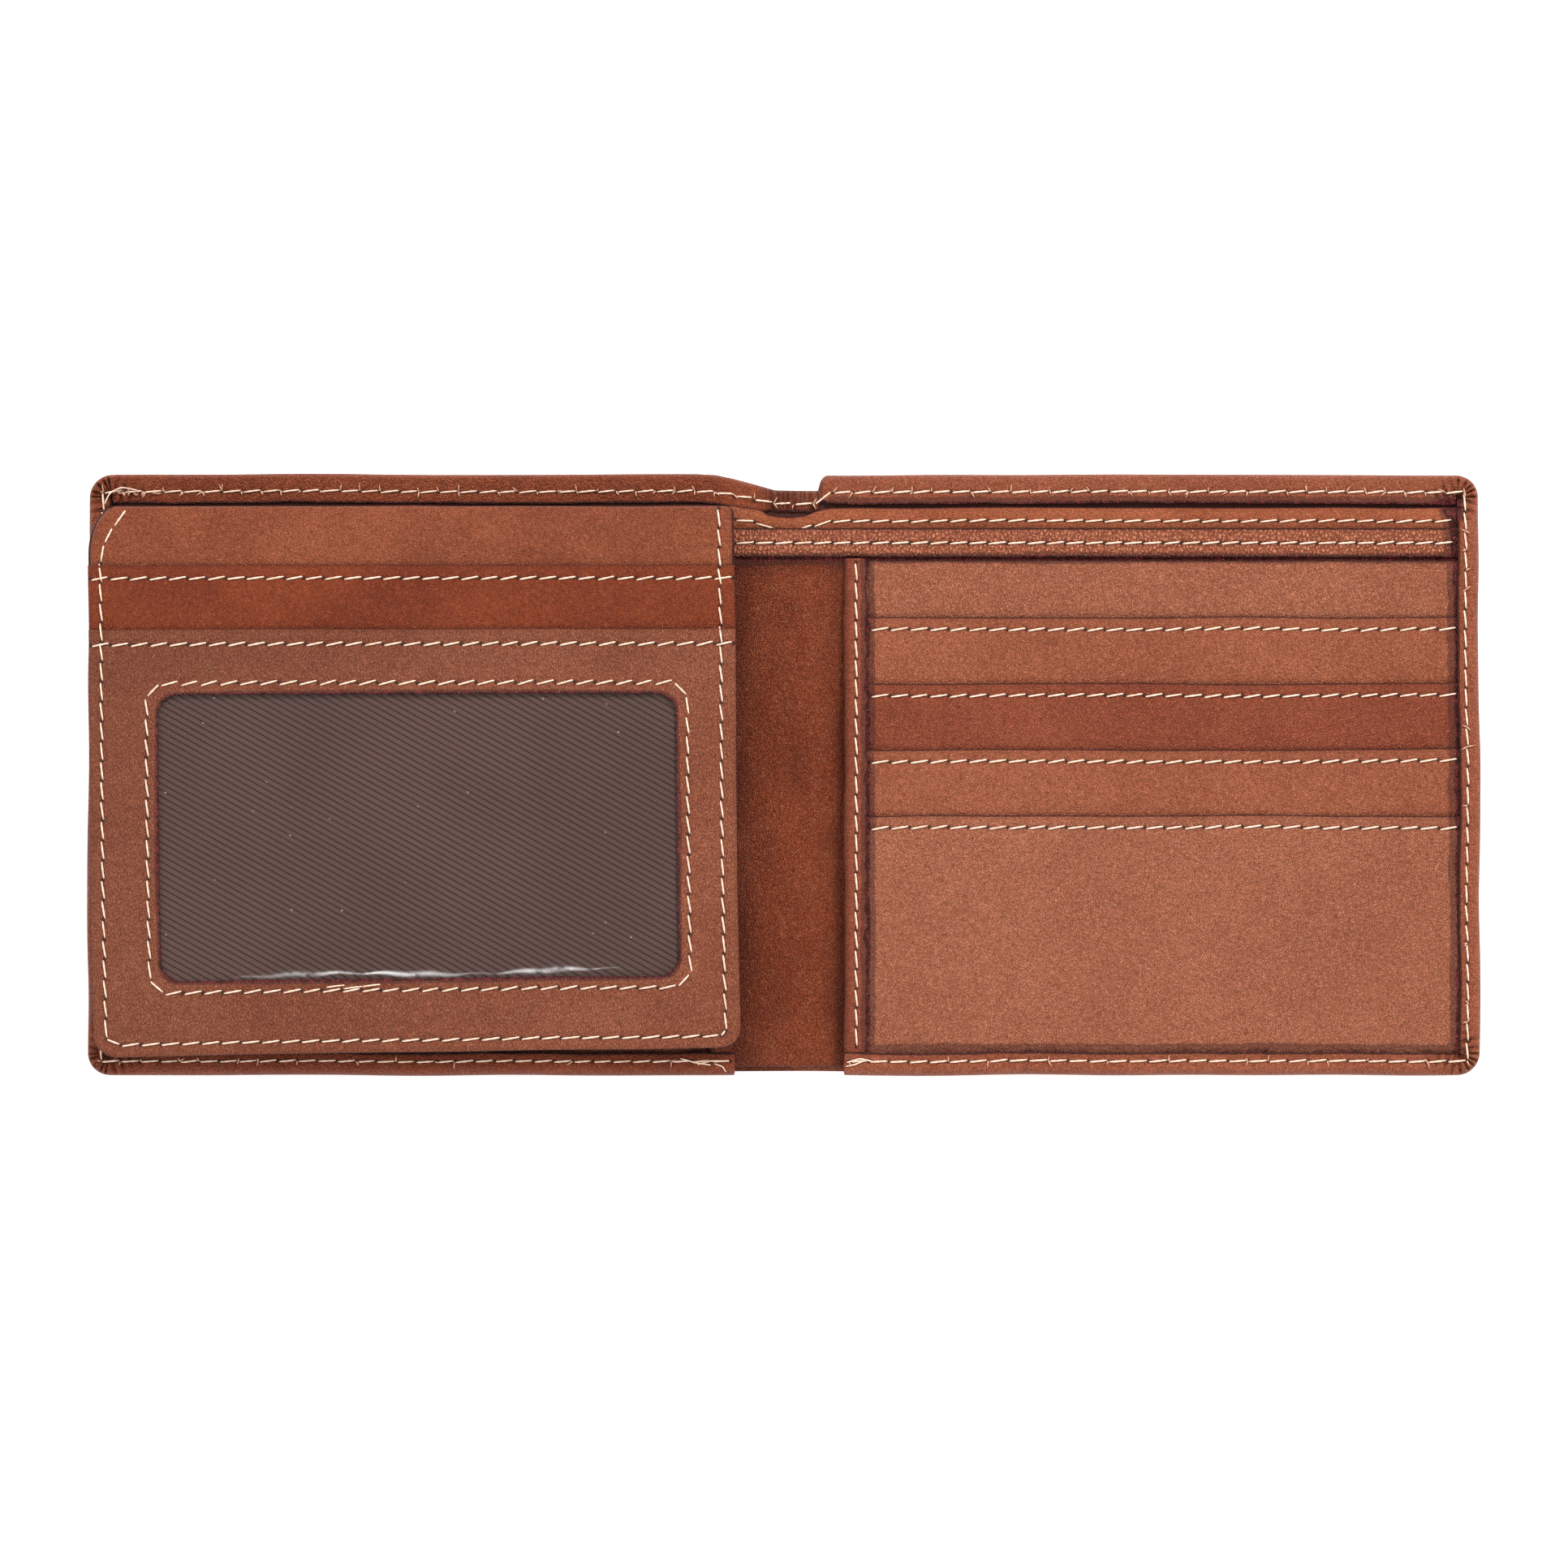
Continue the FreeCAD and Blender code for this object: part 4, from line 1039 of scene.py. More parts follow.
        for d, z in ((0.3, 0.07), (0.1, 0.24), (0.0, 0.55)):
            ring(np.full_like(x, d), np.full_like(x, z), 3.0)
        for share in (0.35, 0.7, 1.0):
            bulge = -0.10 * math.sin(math.pi * share)
            ring(np.full_like(x, bulge), 0.55 + (rise - radius - 0.55) * share, 3.0)
        for angle in (18, 36, 54, 72, 90):
            a = math.radians(angle)
            d = radius * (1 - math.cos(a))
            fold = self.pleats(turn, corner, d)
            # the pleat's depth also goes into press, which paints shade into its creases
            ring(d, rise - radius + radius * math.sin(a) - fold, 3.0, fold * 0.35)
        seam_d = np.where(np.abs(nx) > np.abs(ny), self.SIDE_IN, np.where(ny > 0, self.FOOT_IN, self.TOP_IN))
        for offset in (-0.6, -0.3, 0.0, 0.3, 0.6):
            d = np.maximum(seam_d + offset, radius + 0.02 * (offset + 1))
            self.hem_ring(ring, x, y, nx, ny, d, wide, rise, turn, corner)
        for back in (0.8, 0.45, 0.25, 0.12, 0.04):
            d = np.maximum(wide - back, seam_d + 0.62)
            self.hem_ring(ring, x, y, nx, ny, d, wide, rise, turn, corner)
        ring(np.maximum(wide, seam_d + 0.66), rise - 0.14, 0.0)
        ring(np.maximum(wide, seam_d + 0.66), rise - 0.42, 0.0)
        ring(np.maximum(wide - 0.1, seam_d + 0.6), rise - 0.52, 0.4)
        ring(np.full_like(x, 1.6), rise - 0.52, 3.0)
        ring(np.full_like(x, self.INNER), rise - 0.7, 3.0)
        return rings, attributes

    def pleats(self, turn, corner, d):
        """Gathers at the rounded corners and just past them: ridges that run in from the edge."""
        ridge = np.abs(np.sin(turn * 9.0 + 0.6 * np.sin(turn * 5)))
        depth = 0.8 * np.clip((d + 0.1) / 0.8, 0, 1) * (1 - ridge) ** 1.2
        slanted = np.abs(np.sin(self.past_corner * 2.3 + 0.7 * d + 0.5))
        fading = 0.6 * np.exp(-((self.past_corner / 3.6) ** 2)) * np.clip(d / 0.8, 0, 1)
        return np.where(corner, depth, fading * (1 - slanted) ** 1.4)

    def hem_ring(self, ring, x, y, nx, ny, d, wide, rise, turn, corner):
        """A ring on the hem's face, pressed by thread, gathered in the corners and rounded at the cut."""
        sx, sy = x + nx * d, y + ny * d
        press = np.zeros_like(x)
        for seam in (self.foot_seam, self.top_seam, self.side_seam):
            press = press + seam.pressed(sx, sy)
        fold = self.pleats(turn, corner, d)
        rim = np.maximum(wide - d, 0)
        near = np.clip(1 - rim / 0.3, 0, 1)
        drop = 0.3 * (1 - np.sqrt(1 - near * near)) * 0.5
        slack = 0.07 * swell(sx, sy, 7.0, 31) * np.clip(d / 1.5, 0, 1)
        slack = slack + self.notch(x) * (y > 0) * 0.22 * np.sin(x * 5.6 + 1.2 * np.sin(x * 2.1))
        # the pleat's depth also goes into press, which paints shade into its creases
        ring(d, rise - fold - drop + slack, rim, np.maximum(press, 0) * (1 - corner * 0.8) + fold * 0.6)


def clean(thing):
    """Merges points that fall together, and turns the faces outwards."""
    work = bmesh.new()
    work.from_mesh(thing.data)
    bmesh.ops.remove_doubles(work, verts=work.verts, dist=0.4e-6)
    bmesh.ops.recalc_face_normals(work, faces=work.faces)
    work.to_mesh(thing.data)
    work.free()


def loose(thread, path, width=0.8):
    """A thread end that lies loose on the leather."""
    thread.strand(smooth_path(path), width, twist=12.0)


def smooth_path(path, count=22):
    path = np.asarray(path, float)
    run = np.linspace(0, 1, len(path))
    fine = np.linspace(0, 1, count)
    bent = np.stack([np.interp(fine, run, path[:, k]) for k in range(3)], -1)
    for _ in range(4):
        bent[1:-1] = (bent[:-2] + 2 * bent[1:-1] + bent[2:]) / 4
    return bent


def frayed_ends(thread, side):
    """Where the foot seam starts and stops, the thread is doubled and its ends are loose."""
    z = HEM_TOP + 0.12
    y = -HALF_DEPTH + 2.1
    if side < 0:
        loose(thread, [(-15.8, y + 0.5, z), (-13.6, y - 0.1, z + 0.1), (-11.2, y - 0.5, z)])
        loose(thread, [(-13.2, y - 0.4, z), (-11.0, y + 0.2, z + 0.1), (-8.4, y + 0.1, z)])
        loose(thread, [(-10.6, y - 0.3, z), (-9.4, y - 0.7, z + 0.12), (-8.9, y - 1.5, z + 0.05)], 0.6)
        thread.tear((-101.2, 43.2, 1.9), 0.4)
        for x in (-101.8, -100.6, -99.4, -98.0, -96.2):
            thread.tear((x, 42.9 + 0.4 * math.sin(x * 3), 1.85), x)
        loose(thread, [(-104.2, 41.4, 2.9), (-103.4, 43.2, 2.5), (-101.6, 44.1, 2.2), (-99.2, 43.6, 2.0)])
    else:
        loose(thread, [(9.6, y - 0.1, z), (11.6, y + 0.5, z + 0.1), (13.4, y + 0.1, z)])
        loose(thread, [(9.5, y - 0.7, z), (10.9, y - 0.4, z + 0.15), (12.3, y + 0.2, z)], 0.7)


def covers():
    for side, name in ((-1, "left"), (1, "right")):
        cover = Cover(side)
        thing = cover.build()
        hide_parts(f"outer_cover_{name}", "outer_cover_spine")
        bend(thing)
        thread = Thread(40 + side)
        for seam in (cover.foot_seam, cover.top_seam, cover.side_seam):
            thread.seam(seam, cover, cover.height)
        frayed_ends(thread, side)
        bend(thread.build(f"hem_stitches_{name}", f"hem_thread_{name}"))


# ---------------------------------------------------------------- sheets between the cover and the panels


def half_limits(node, side):
    """The low and high corner of a half's sheet, from mid-spine to the side."""
    low, high = span(node)
    if side < 0:
        high[0] = MIDDLE
    else:
        low[0] = MIDDLE
    return low, high


def corner_blot(x, y):
    """Edge paint has run together inside the top right corner."""
    return 1.7 * np.exp(-(((x - 102.1) / 1.6) ** 2 + ((y - 41.2) / 1.6) ** 2))


def side_paint(side):
    """Distance to the side hem's painted edge, where the paint has run on to the sheets beside it."""

    def distance(x, y):
        return np.abs(HALF_WIDTH - HEM_AT_SIDE - x * side) * 0.85 - 0.55 - corner_blot(x, y)

    return distance


def under_dip(x, y):
    """Sheets inside the cover stay behind its dipped top edge."""
    top = np.minimum(top_line(x) - 1.6, 44.85)
    return x, np.where(y > 30, 30 + (y - 30) * (top - 30) / 14.85, y)


def cloth(name, node, side, others=(), seed=3):
    """A thin lining sheet in the place of its CAD plate."""
    low, high = half_limits(node, side) if side else span(node)
    spine_lines = list(np.arange(-14, 9, 0.7)) if side else ()
    sheet = Sheet(low[:2], high[:2], low[2] + 0.02, 0.12, roll=0.05, uneven=0.02, seed=seed, step=3.0,
                  warp=under_dip if side else None, marks=(spine_lines, ()), open_side=-side)
    thing = sheet.build(name, [MATERIALS["lining"]])
    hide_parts(node, *others)
    return thing


WALL_TRIM_FOOT = 33.3
SAG_X = (-12, -7.6, -3.6, -2.4, 0.7, 3.2, 5.2, 7.2)
SAG_Y = (0.5, 0.45, -0.15, -1.0, -1.3, -1.0, -0.15, 0.2)


def divider_sag(x, y):
    """The divider's top edge dips over the spine."""
    wave = 0.08 * swell(x, x * 0, 30.0, 15)
    return x, y + np.interp(x, SAG_X, SAG_Y) * np.clip((y - 30) / 8, 0, 1) + wave


def divider_shade(x, y):
    """The divider's trim is dark just below its seam."""
    return 0.5 * np.exp(-((y - 37.6) / 0.7) ** 2)


def trims(side, name):
    """Divider and inner wall of one half: cloth, leather trims and their seams."""
    bend(cloth(f"lining_{name}", f"bill_lining_{name}", side, ["bill_lining_spine"], seed=51))
    node = f"divider_sheet_{name}"
    bend(cloth(f"divider_cloth_{name}", node, side, ["divider_sheet_spine"], seed=52))
    low, high = half_limits(f"divider_trim_{name}", side)
    outer_clear = side * (HALF_WIDTH - 3.9)
    beside = side_paint(side)
    seam = Seam("x", 38.7, outer_clear, MIDDLE, 0.17)
    sheet = Sheet(low[:2], high[:2], low[2], 0.5, seams=[seam], roll=0.3, uneven=0.05, seed=61,
                  warp=divider_sag, step=1.0, open_side=-side, stain=beside, shade=divider_shade)
    trim = sheet.build(f"divider_trim_{name}_leather", [MATERIALS["trim"]])
    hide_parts(f"divider_trim_{name}", "divider_trim_spine")
    bend(trim)
    low, high = half_limits(f"inner_wall_{name}", side)
    wall = Sheet(low[:2], high[:2], low[2], 0.45, roll=0.25, uneven=0.03, seed=62, step=1.0,
                 extra=spine_creases, open_side=-side, stain=lambda x, y: (WALL_TRIM_FOOT - y) * 1.1,
                 shade=spine_shade)
    piece = wall.build(f"inner_wall_{name}_leather", [MATERIALS["spine"]])
    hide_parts(f"inner_wall_{name}", "inner_wall_spine")
    bend(piece)
    low, high = half_limits(f"inner_wall_trim_{name}", side)
    wall_seam = Seam("x", 35.5, outer_clear, MIDDLE, 0.14)
    grained = Grained(low[:2], high[:2], low[2], 0.42, seams=[wall_seam], roll=0.2, uneven=0.04, seed=63,
                      step=0.2, stain=lambda x, y: np.minimum((y - WALL_TRIM_FOOT) * 1.6 + 0.3, beside(x, y)),
                      open_side=-side)
    piece = grained.build(f"wall_trim_{name}_leather", [MATERIALS["grained"]])
    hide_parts(f"inner_wall_trim_{name}", "inner_wall_trim_spine")
    bend(piece)
    thread = Thread(70 + side)
    thread.seam(seam, sheet)
    thread.seam(wall_seam, grained)
    bend(thread.build(f"trim_stitches_{name}", f"trim_thread_{name}", "trim_thread_spine"))


def spine_shade(x, y):
    """Painted shade: the spine's leather is darker at both sides, where it bends beside the flap and the
    binding, and under the trim above it; the cloud is uneven tone.
    """
    left = np.exp(-((x + 7.2) / 2.6) ** 2)
    right = np.exp(-((x - 9.2) / 2.4) ** 2)
    top = np.exp(-((y - WALL_TRIM_FOOT) / 2.0) ** 2) * 0.6
    cloud = 0.08 + 0.14 * swell(x, y * 0.5, 9.0, 79)
    return 0.62 * left + 0.5 * right + top + cloud


def spine_creases(x, y):
    """The leather over the spine has soft lengthways folds."""
    near = np.exp(-(((x - MIDDLE) / 6.5) ** 4))
    folds = 0.16 * swell(x * 1.0, y * 0.22, 7.0, 77) + 0.07 * swell(x, y * 0.5, 2.6, 78)
    return near * folds


class Grained(Sheet):
    """Leather with a coarse pebbled grain, as real relief."""

    def pressed(self, x, y):
        cells = pebbles(x * 1.0, y * 0.7 + 0.1 * np.sin(x * 2.0), 0.5, self.seed)
        return super().pressed(x, y) + 0.13 * (1 - cells)


# ---------------------------------------------------------------- card panels


def slot_shade(edges, scars=()):
    """Painted shade, with some wear: each row is darker just above the edge of the slot below it; scars are
    small dents.
    """

    def shade(x, y):
        total = np.zeros(x.shape)
        for sx, sy in scars:
            across, down = (x - sx) / 0.55, (y - sy + 0.4 * (x - sx)) / 0.25
            total = total + 0.8 * np.exp(-(across**2 + down**2))
        # painted shade cast by the slot edge below, with some wear
        for edge in edges:
            above = y - edge
            total = total + np.where(above > -0.1, 0.34 * np.exp(-above / 0.55), 0)
        return total

    return shade


def panel_stain(side, binding_edge, top_edge=None):
    """Distance to the painted edges round a panel: the hem, the binding and the trim above."""
    hem_x, hem_y = HALF_WIDTH - HEM_AT_SIDE, HALF_DEPTH - HEM_AT_FOOT

    def distance(x, y):
        reach = np.minimum(np.abs(hem_x - x * side) * 0.9, np.abs(y + hem_y) * 1.05)
        reach = np.minimum(reach, np.abs(x * side - binding_edge) * 1.1)
        if top_edge is not None:
            reach = np.minimum(reach, np.abs(top_edge - y) * 1.25)
        return reach

    return distance


LEAF_LOOKS = ("panel", "panel_dark", "panel", "panel_light")
ABOVE_EDGE = (0, 0.3, 0.7, 1.2)


def panel(side, name):
    binding_low, binding_high = span(f"{name}_panel_binding")
    binding_edge = binding_high[0] if side > 0 else -binding_low[0]
    low, high = span(f"{name}_panel_base")
    base = Sheet(low[:2], high[:2], low[2], 0.48, roll=0.2, uneven=0.03, seed=81, step=0.8,
                 stain=panel_stain(side, binding_edge, 33.5), shade=slot_shade([24.1], [(25.2, 27.0)]))
    piece = base.build(f"{name}_panel_base_leather", [MATERIALS["panel_light"]])
    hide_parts(f"{name}_panel_base")
    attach(piece, f"{name}_half")
    thread = Thread(90 + side)
    stain = panel_stain(side, binding_edge)
    for n in range(1, SLOTS + 1):
        node = f"{name}_slot_leaf_{n}"
        low, high = span(node)
        start, end = sorted((side * (binding_edge + 0.5), side * (HALF_WIDTH - 3.4)))
        seam = Seam("x", high[1] - 1.85, start, end, 0.22)
        following = [span(f"{name}_slot_leaf_{n + 1}")[1][1]] if n < SLOTS else []
        leaf = Sheet(low[:2], high[:2], low[2], 0.48, seams=[seam], roll=0.24, uneven=0.03, seed=100 + n,
                     warp=edge_wander(n + 3 * side), stain=stain, shade=slot_shade(following), step=1.1,
                     marks=((), around(following, ABOVE_EDGE)))
        piece = leaf.build(f"{node}_leather", [MATERIALS[LEAF_LOOKS[n - 1]]])
        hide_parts(node)
        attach(piece, f"{name}_half")
        thread.seam(seam, leaf)
        if n < SLOTS:
            tail = f"{name}_slot_tail_{n}"
            thing = cloth(f"{tail}_cloth", tail, 0, seed=120 + n)
            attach(thing, f"{name}_half")
    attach(thread.build(f"{name}_slot_stitches", f"{name}_slot_thread"), f"{name}_half")
    binding(side, name)


def edge_wander(seed):
    """Hand-cut edges wander a little."""

    def warp(x, y):
        return x, y + 0.14 * swell(x, x * 0, 46.0, 200 + seed)

    return warp


def binding_profile(width):
    """Across the strip, from its roll to its cut edge: distance, height over the face, and rim."""
    roll = 1.1
    profile = []
    for angle in range(0, 91, 15):
        a = math.radians(angle)
        profile.append((roll * (1 - math.cos(a)), -roll * (1 - math.sin(a)), 3.0))
    profile += [(d, 0.0, width - d) for d in (1.25, 1.55, 1.85, 2.15, 2.45, 2.9)]
    cut_edge = ((0.35, 0.02), (0.15, 0.06), (0.05, 0.14), (0.0, 0.3))
    profile += [(width - back, -drop, back) for back, drop in cut_edge]
    return profile


def binding(side, name):
    """The strip that is folded round the panel's edge at the spine."""
    low, high = span(f"{name}_panel_binding")
    edge = low[0] if side > 0 else high[0]
    width = high[0] - low[0]
    top_y, foot_y = high[1] + 0.3, low[1]
    level = BindingLevel()
    seam = Seam("y", edge + side * 1.85, foot_y + 0.8, top_y - 0.6, 0.16)
    ys = grid_lines(foot_y, top_y, 0.6, around(seam.holes))
    profile = binding_profile(width)
    gauge = 0.5
    loops, presses = [], []
    for y in ys:
        ragged = 0.25 * float(swell(y, 0.0, 3.5, 300)) + 0.1 * float(swell(y, 0.0, 1.1, 301))
        side_wave = 0.1 * float(swell(y, 2.0, 12.0, 302))
        face = float(level.face(edge, y))
        ring = [(edge + side * side_wave, y, low[2])]
        press_here = [0.0]
        for d, dz, _ in profile:
            stretch = d / width
            x = edge + side * (d + ragged * stretch**3 + side_wave * (1 - stretch))
            press = float(at(seam.pressed, (x, y))) if 0.9 < d < width - 0.1 else 0.0
            ring.append((x, y, face + dz - press))
            press_here.append(max(press, 0))
        end_x = edge + side * (width - 0.05 + ragged)
        ring += [(end_x, y, face - gauge), (edge + side * 1.2, y, face - gauge)]
        ring += [(edge + side * gauge, y, face - gauge - 0.5), (edge + side * gauge, y, low[2])]
        loops.append(ring)
        presses += press_here + [0.0] * 4
    count = len(loops[0])
    points = np.array(loops).reshape(-1, 3)
    faces = tube_faces(len(ys), count, flip=True)
    faces.append(list(range(count)))
    faces.append([(len(ys) - 1) * count + i for i in reversed(range(count))])
    roll_reach = (points[:, 0] - edge) * side
    attributes = {
        "rim": ([3.0] + [rim for _, _, rim in profile] + [0.1, 3.0, 3.0, 3.0]) * len(ys),
        "press": presses,
        "stain": np.maximum(width - roll_reach, 0) * 1.05 + 0.35,
        # painted shade: the binding darkens into its rolled edge, where its shadow falls
        "shade": 0.55 * np.exp(-((roll_reach / 0.9) ** 2)),
    }
    thing = mesh_object(f"{name}_binding_leather", points, faces, [MATERIALS["binding"]], attributes)
    clean(thing)
    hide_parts(f"{name}_panel_binding")
    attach(thing, f"{name}_half")
    thread = Thread(150 + side)
    thread.seam(seam, level, level.face)
    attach(thread.build(f"{name}_binding_stitches", f"{name}_binding_thread"), f"{name}_half")


class BindingLevel:
    """The binding's upper face, which climbs with the stepped slots under it."""

    def face(self, x, y):
        return side_height(y) - 0.02

    def warped(self, x, y):
        return x, y


# ---------------------------------------------------------------- flap


FLAP_LOW, FLAP_HIGH = (-106.3, -43.1), (-7.7, 40.9)
FLAP_LEAN = 1.1
FLAP_RISE = 1.5
WINDOW_LOW, WINDOW_HIGH = (-95.8, -31.7), (-16.9, 12.1)
WINDOW_RADIUS = 3.2


def lean(x, y):
    """The flap hangs a little askew: its foot swings to the right and its right corner rides higher."""
    down = (FLAP_HIGH[1] - y) / (FLAP_HIGH[1] - FLAP_LOW[1])
    across = (x - FLAP_LOW[0]) / (FLAP_HIGH[0] - FLAP_LOW[0])
    wave_y = 0.10 * swell(x, x * 0, 52.0, 400) * (0.4 + 0.6 * down)
    wave_x = 0.10 * swell(y, y * 0, 36.0, 401)
    return x + FLAP_LEAN * down + wave_x, y + FLAP_RISE * across * down**1.5 + wave_y


def flap_curve(x, y):
    """The flap is not quite flat: its free edges lift a little."""
    return 0.10 * swell(x, y, 60.0, 402)


EDGE_SEAM = 1.9


def flap_seams():
    x0, x1 = FLAP_LOW[0] + EDGE_SEAM, FLAP_HIGH[0] - EDGE_SEAM
    y0 = FLAP_LOW[1] + EDGE_SEAM
    return {
        "left": Seam("y", x0, y0 + 1.0, FLAP_HIGH[1] - 8.6, 0.17),
        "right": Seam("y", x1 - 0.4, y0 + 0.8, FLAP_HIGH[1] - 0.3, 0.17),
        "foot": Seam("x", y0, x0 + 2.2, x1 - 1.2, 0.17),
    }


def flap_sheet(name, node, top, foot, gauge, seams, look, seed, inset=0.0,
               roll=0.25, following=()):
    """One of the flap's plain leathers; following are the edges of the leaves that lie on it."""
    bottom = span(node)[0][2]
    corner_low = (FLAP_LOW[0] + inset, max(FLAP_LOW[1], foot))
    corner_high = (FLAP_HIGH[0] - inset, top)
    foot_radii = (3.6, 3.2) if foot <= FLAP_LOW[1] else (0, 0)
    top_radii = (1.0, (4.4, 7.4)) if top == FLAP_HIGH[1] else (0, 0)
    sheet = Sheet(corner_low, corner_high, bottom, gauge, foot_radii + top_radii, seams, roll, 0.02, seed,
                  lean, flap_curve, step=1.1, shade=slot_shade(following),
                  marks=((), around(following, ABOVE_EDGE)))
    thing = sheet.build(name, [MATERIALS[look]])
    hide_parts(node)
    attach(thing, "flap")
    return sheet


def clipped(seam, low, high):
    """The part of a seam's holes between two heights, as a seam of its own."""
    part = Seam(seam.along, seam.at, 0, 1, seam.slant)
    part.holes = seam.holes[(seam.holes > low) & (seam.holes < high)]
    part.pitch = seam.pitch
    return part


def rounded_outline(low, high, radii, counts):
    """Points round a rounded rectangle, with the same number on matching stretches."""
    (ax, ay), (bx, by) = low, high
    corner_steps = 12
    places = []
    corners = []
    for (sx, sy), first, r in zip(((1, -1), (1, 1), (-1, 1), (-1, -1)), (-90, 0, 90, 180), radii):
        centre = ((bx - r) if sx > 0 else (ax + r), (by - r) if sy > 0 else (ay + r))
        corners.append((centre, first, r))
    for n, ((ox, oy), first, r) in enumerate(corners):
        for k in range(corner_steps + 1):
            a = math.radians(first + 90 * k / corner_steps)
            places.append((ox + r * math.cos(a), oy + r * math.sin(a)))
        here = places[-1]
        (nx, ny), first, r = corners[(n + 1) % 4]
        a = math.radians(first)
        goal = (nx + r * math.cos(a), ny + r * math.sin(a))
        for k in range(1, counts[n % 2]):
            t = k / counts[n % 2]
            places.append((here[0] + (goal[0] - here[0]) * t, here[1] + (goal[1] - here[1]) * t))
    return np.array(places)


def window_frame(sheet, name):
    """The window leaf: rings of points from the window's edge out to the leaf's edge."""
    counts = (150, 260)
    inside = rounded_outline(WINDOW_LOW, WINDOW_HIGH, (WINDOW_RADIUS,) * 4, counts)
    outside = rounded_outline(sheet.low, sheet.high, (3.2, 0.02, 0.02, 3.6), counts)
    reach = np.linalg.norm(outside - inside, axis=1)
    near = [0, 0.04, 0.12, 0.25, 0.45, 0.8, 1.15, 1.45, 1.75, 2.3]
    far = [0.8, 0.45, 0.25, 0.12, 0.04, 0]
    shares = [n / reach for n in near]
    shares += [np.full_like(reach, m) for m in np.linspace(0.26, 0.9, 28)]
    shares += [1 - f / reach for f in far]
    shares = np.maximum.accumulate(np.array(shares), axis=0)
    place = inside[None] + (outside - inside)[None] * shares[..., None]
    x, y = place[..., 0], place[..., 1]
    outer_rim = (1 - shares) * reach
    inner_rim = shares * reach
    rim = np.minimum(outer_rim, inner_rim)
    press, top, under = sheet.levels(x, y, rim, tuck=0)
    points = both_faces(*sheet.warped(x, y), top, under)
    index = np.arange(x.size).reshape(x.shape)
    following = np.roll(index, -1, axis=1)
    low, after = index + x.size, following + x.size
    faces = []
    for quad in (
        (index[:-1], index[1:], following[1:], following[:-1]), (low[:-1], after[:-1], after[1:], low[1:]),
        (index[0], following[0], after[0], low[0]), (index[-1], low[-1], after[-1], following[-1]),
    ):
        faces += np.stack(quad, -1).reshape(-1, 4).tolist()
    wine = np.where(inner_rim < outer_rim, inner_rim * 2.6 - 0.6, FAR)
    shade = np.interp(x, (sheet.low[0], sheet.high[0]), (0.30, 0.0)) + 0.14 * np.clip((y - 10) / 8, 0, 1)
    attributes = sheet_attributes(rim, wine, press, shade)
    thing = mesh_object(name, points, faces, [MATERIALS["flap_window"]], attributes)
    clean(thing)
    return thing


def window_seams():
    """The seam round the window: four straight rows; its corners are cut across."""
    (x0, y0), (x1, y1) = WINDOW_LOW, WINDOW_HIGH
    gap, cut = 1.75, 2.05
    return {
        "top": Seam("x", y1 + gap, x0 + cut - gap, x1 - cut + gap, 0.36),
        "foot": Seam("x", y0 - gap, x0 + cut - gap, x1 - cut + gap, 0.26),
        "left": Seam("y", x0 - gap, y0 + cut - gap, y1 - cut + gap, 0.2),
        "right": Seam("y", x1 + gap, y0 + cut - gap, y1 - cut + gap, 0.2),
    }


def flap():
    edge = flap_seams()
    slot_top = span("flap_slot_leaf")[1][1]
    leaf_top = span("flap_window_leaf")[1][1]
    foot, top = FLAP_LOW[1], FLAP_HIGH[1]
    flap_sheet("flap_back_leather", "flap_back", top, foot, 0.68, [], "cover_left", 410)
    upper = [clipped(edge[k], slot_top, 99) for k in ("left", "right")]
    middle = [clipped(edge[k], leaf_top, slot_top) for k in ("left", "right")]
    lower = [clipped(edge[k], -99, leaf_top) for k in ("left", "right")] + [edge["foot"]]
    base = flap_sheet("flap_base_leather", "flap_base", top, foot, 0.5, upper, "flap", 411, 0.35, roll=0.45,
                      following=[slot_top])
    slot_seam = Seam("x", slot_top - 2.0, FLAP_LOW[0] + 0.3, FLAP_HIGH[0] - 0.3, 0.22)
    leaf_seam = Seam("x", leaf_top - 2.3, FLAP_LOW[0] + 0.3, FLAP_HIGH[0] - 0.3, 0.28)
    slot_low = span("flap_slot_leaf")[0]
    slot_leaf = flap_sheet(
        "flap_slot_leather", "flap_slot_leaf", slot_top, slot_low[1], 0.48, middle + [slot_seam], "flap_slot",
        412, following=[leaf_top],
    )
    round_window = window_seams()
    low = span("flap_window_leaf")[0]
    window = Sheet(
        FLAP_LOW, (FLAP_HIGH[0], leaf_top), low[2], 0.5, (3.6, 3.2, 0, 0),
        lower + [leaf_seam] + list(round_window.values()), 0.22, 0.02, 413, lean, flap_curve,
    )
    leaf = window_frame(window, "flap_window_leather")
    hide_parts("flap_window_leaf")
    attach(leaf, "flap")
    tail = cloth("flap_tail_cloth", "flap_slot_tail", 0, seed=414)
    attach(tail, "flap")
    edge_thread(edge, base, slot_leaf, window)
    thread = Thread(161)
    thread.seam(slot_seam, slot_leaf)
    thread.seam(leaf_seam, window)
    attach(thread.build("flap_slot_stitches", "flap_slot_thread"), "flap")
    window_thread(round_window, window)
    id_pocket()
    hinge_strip()


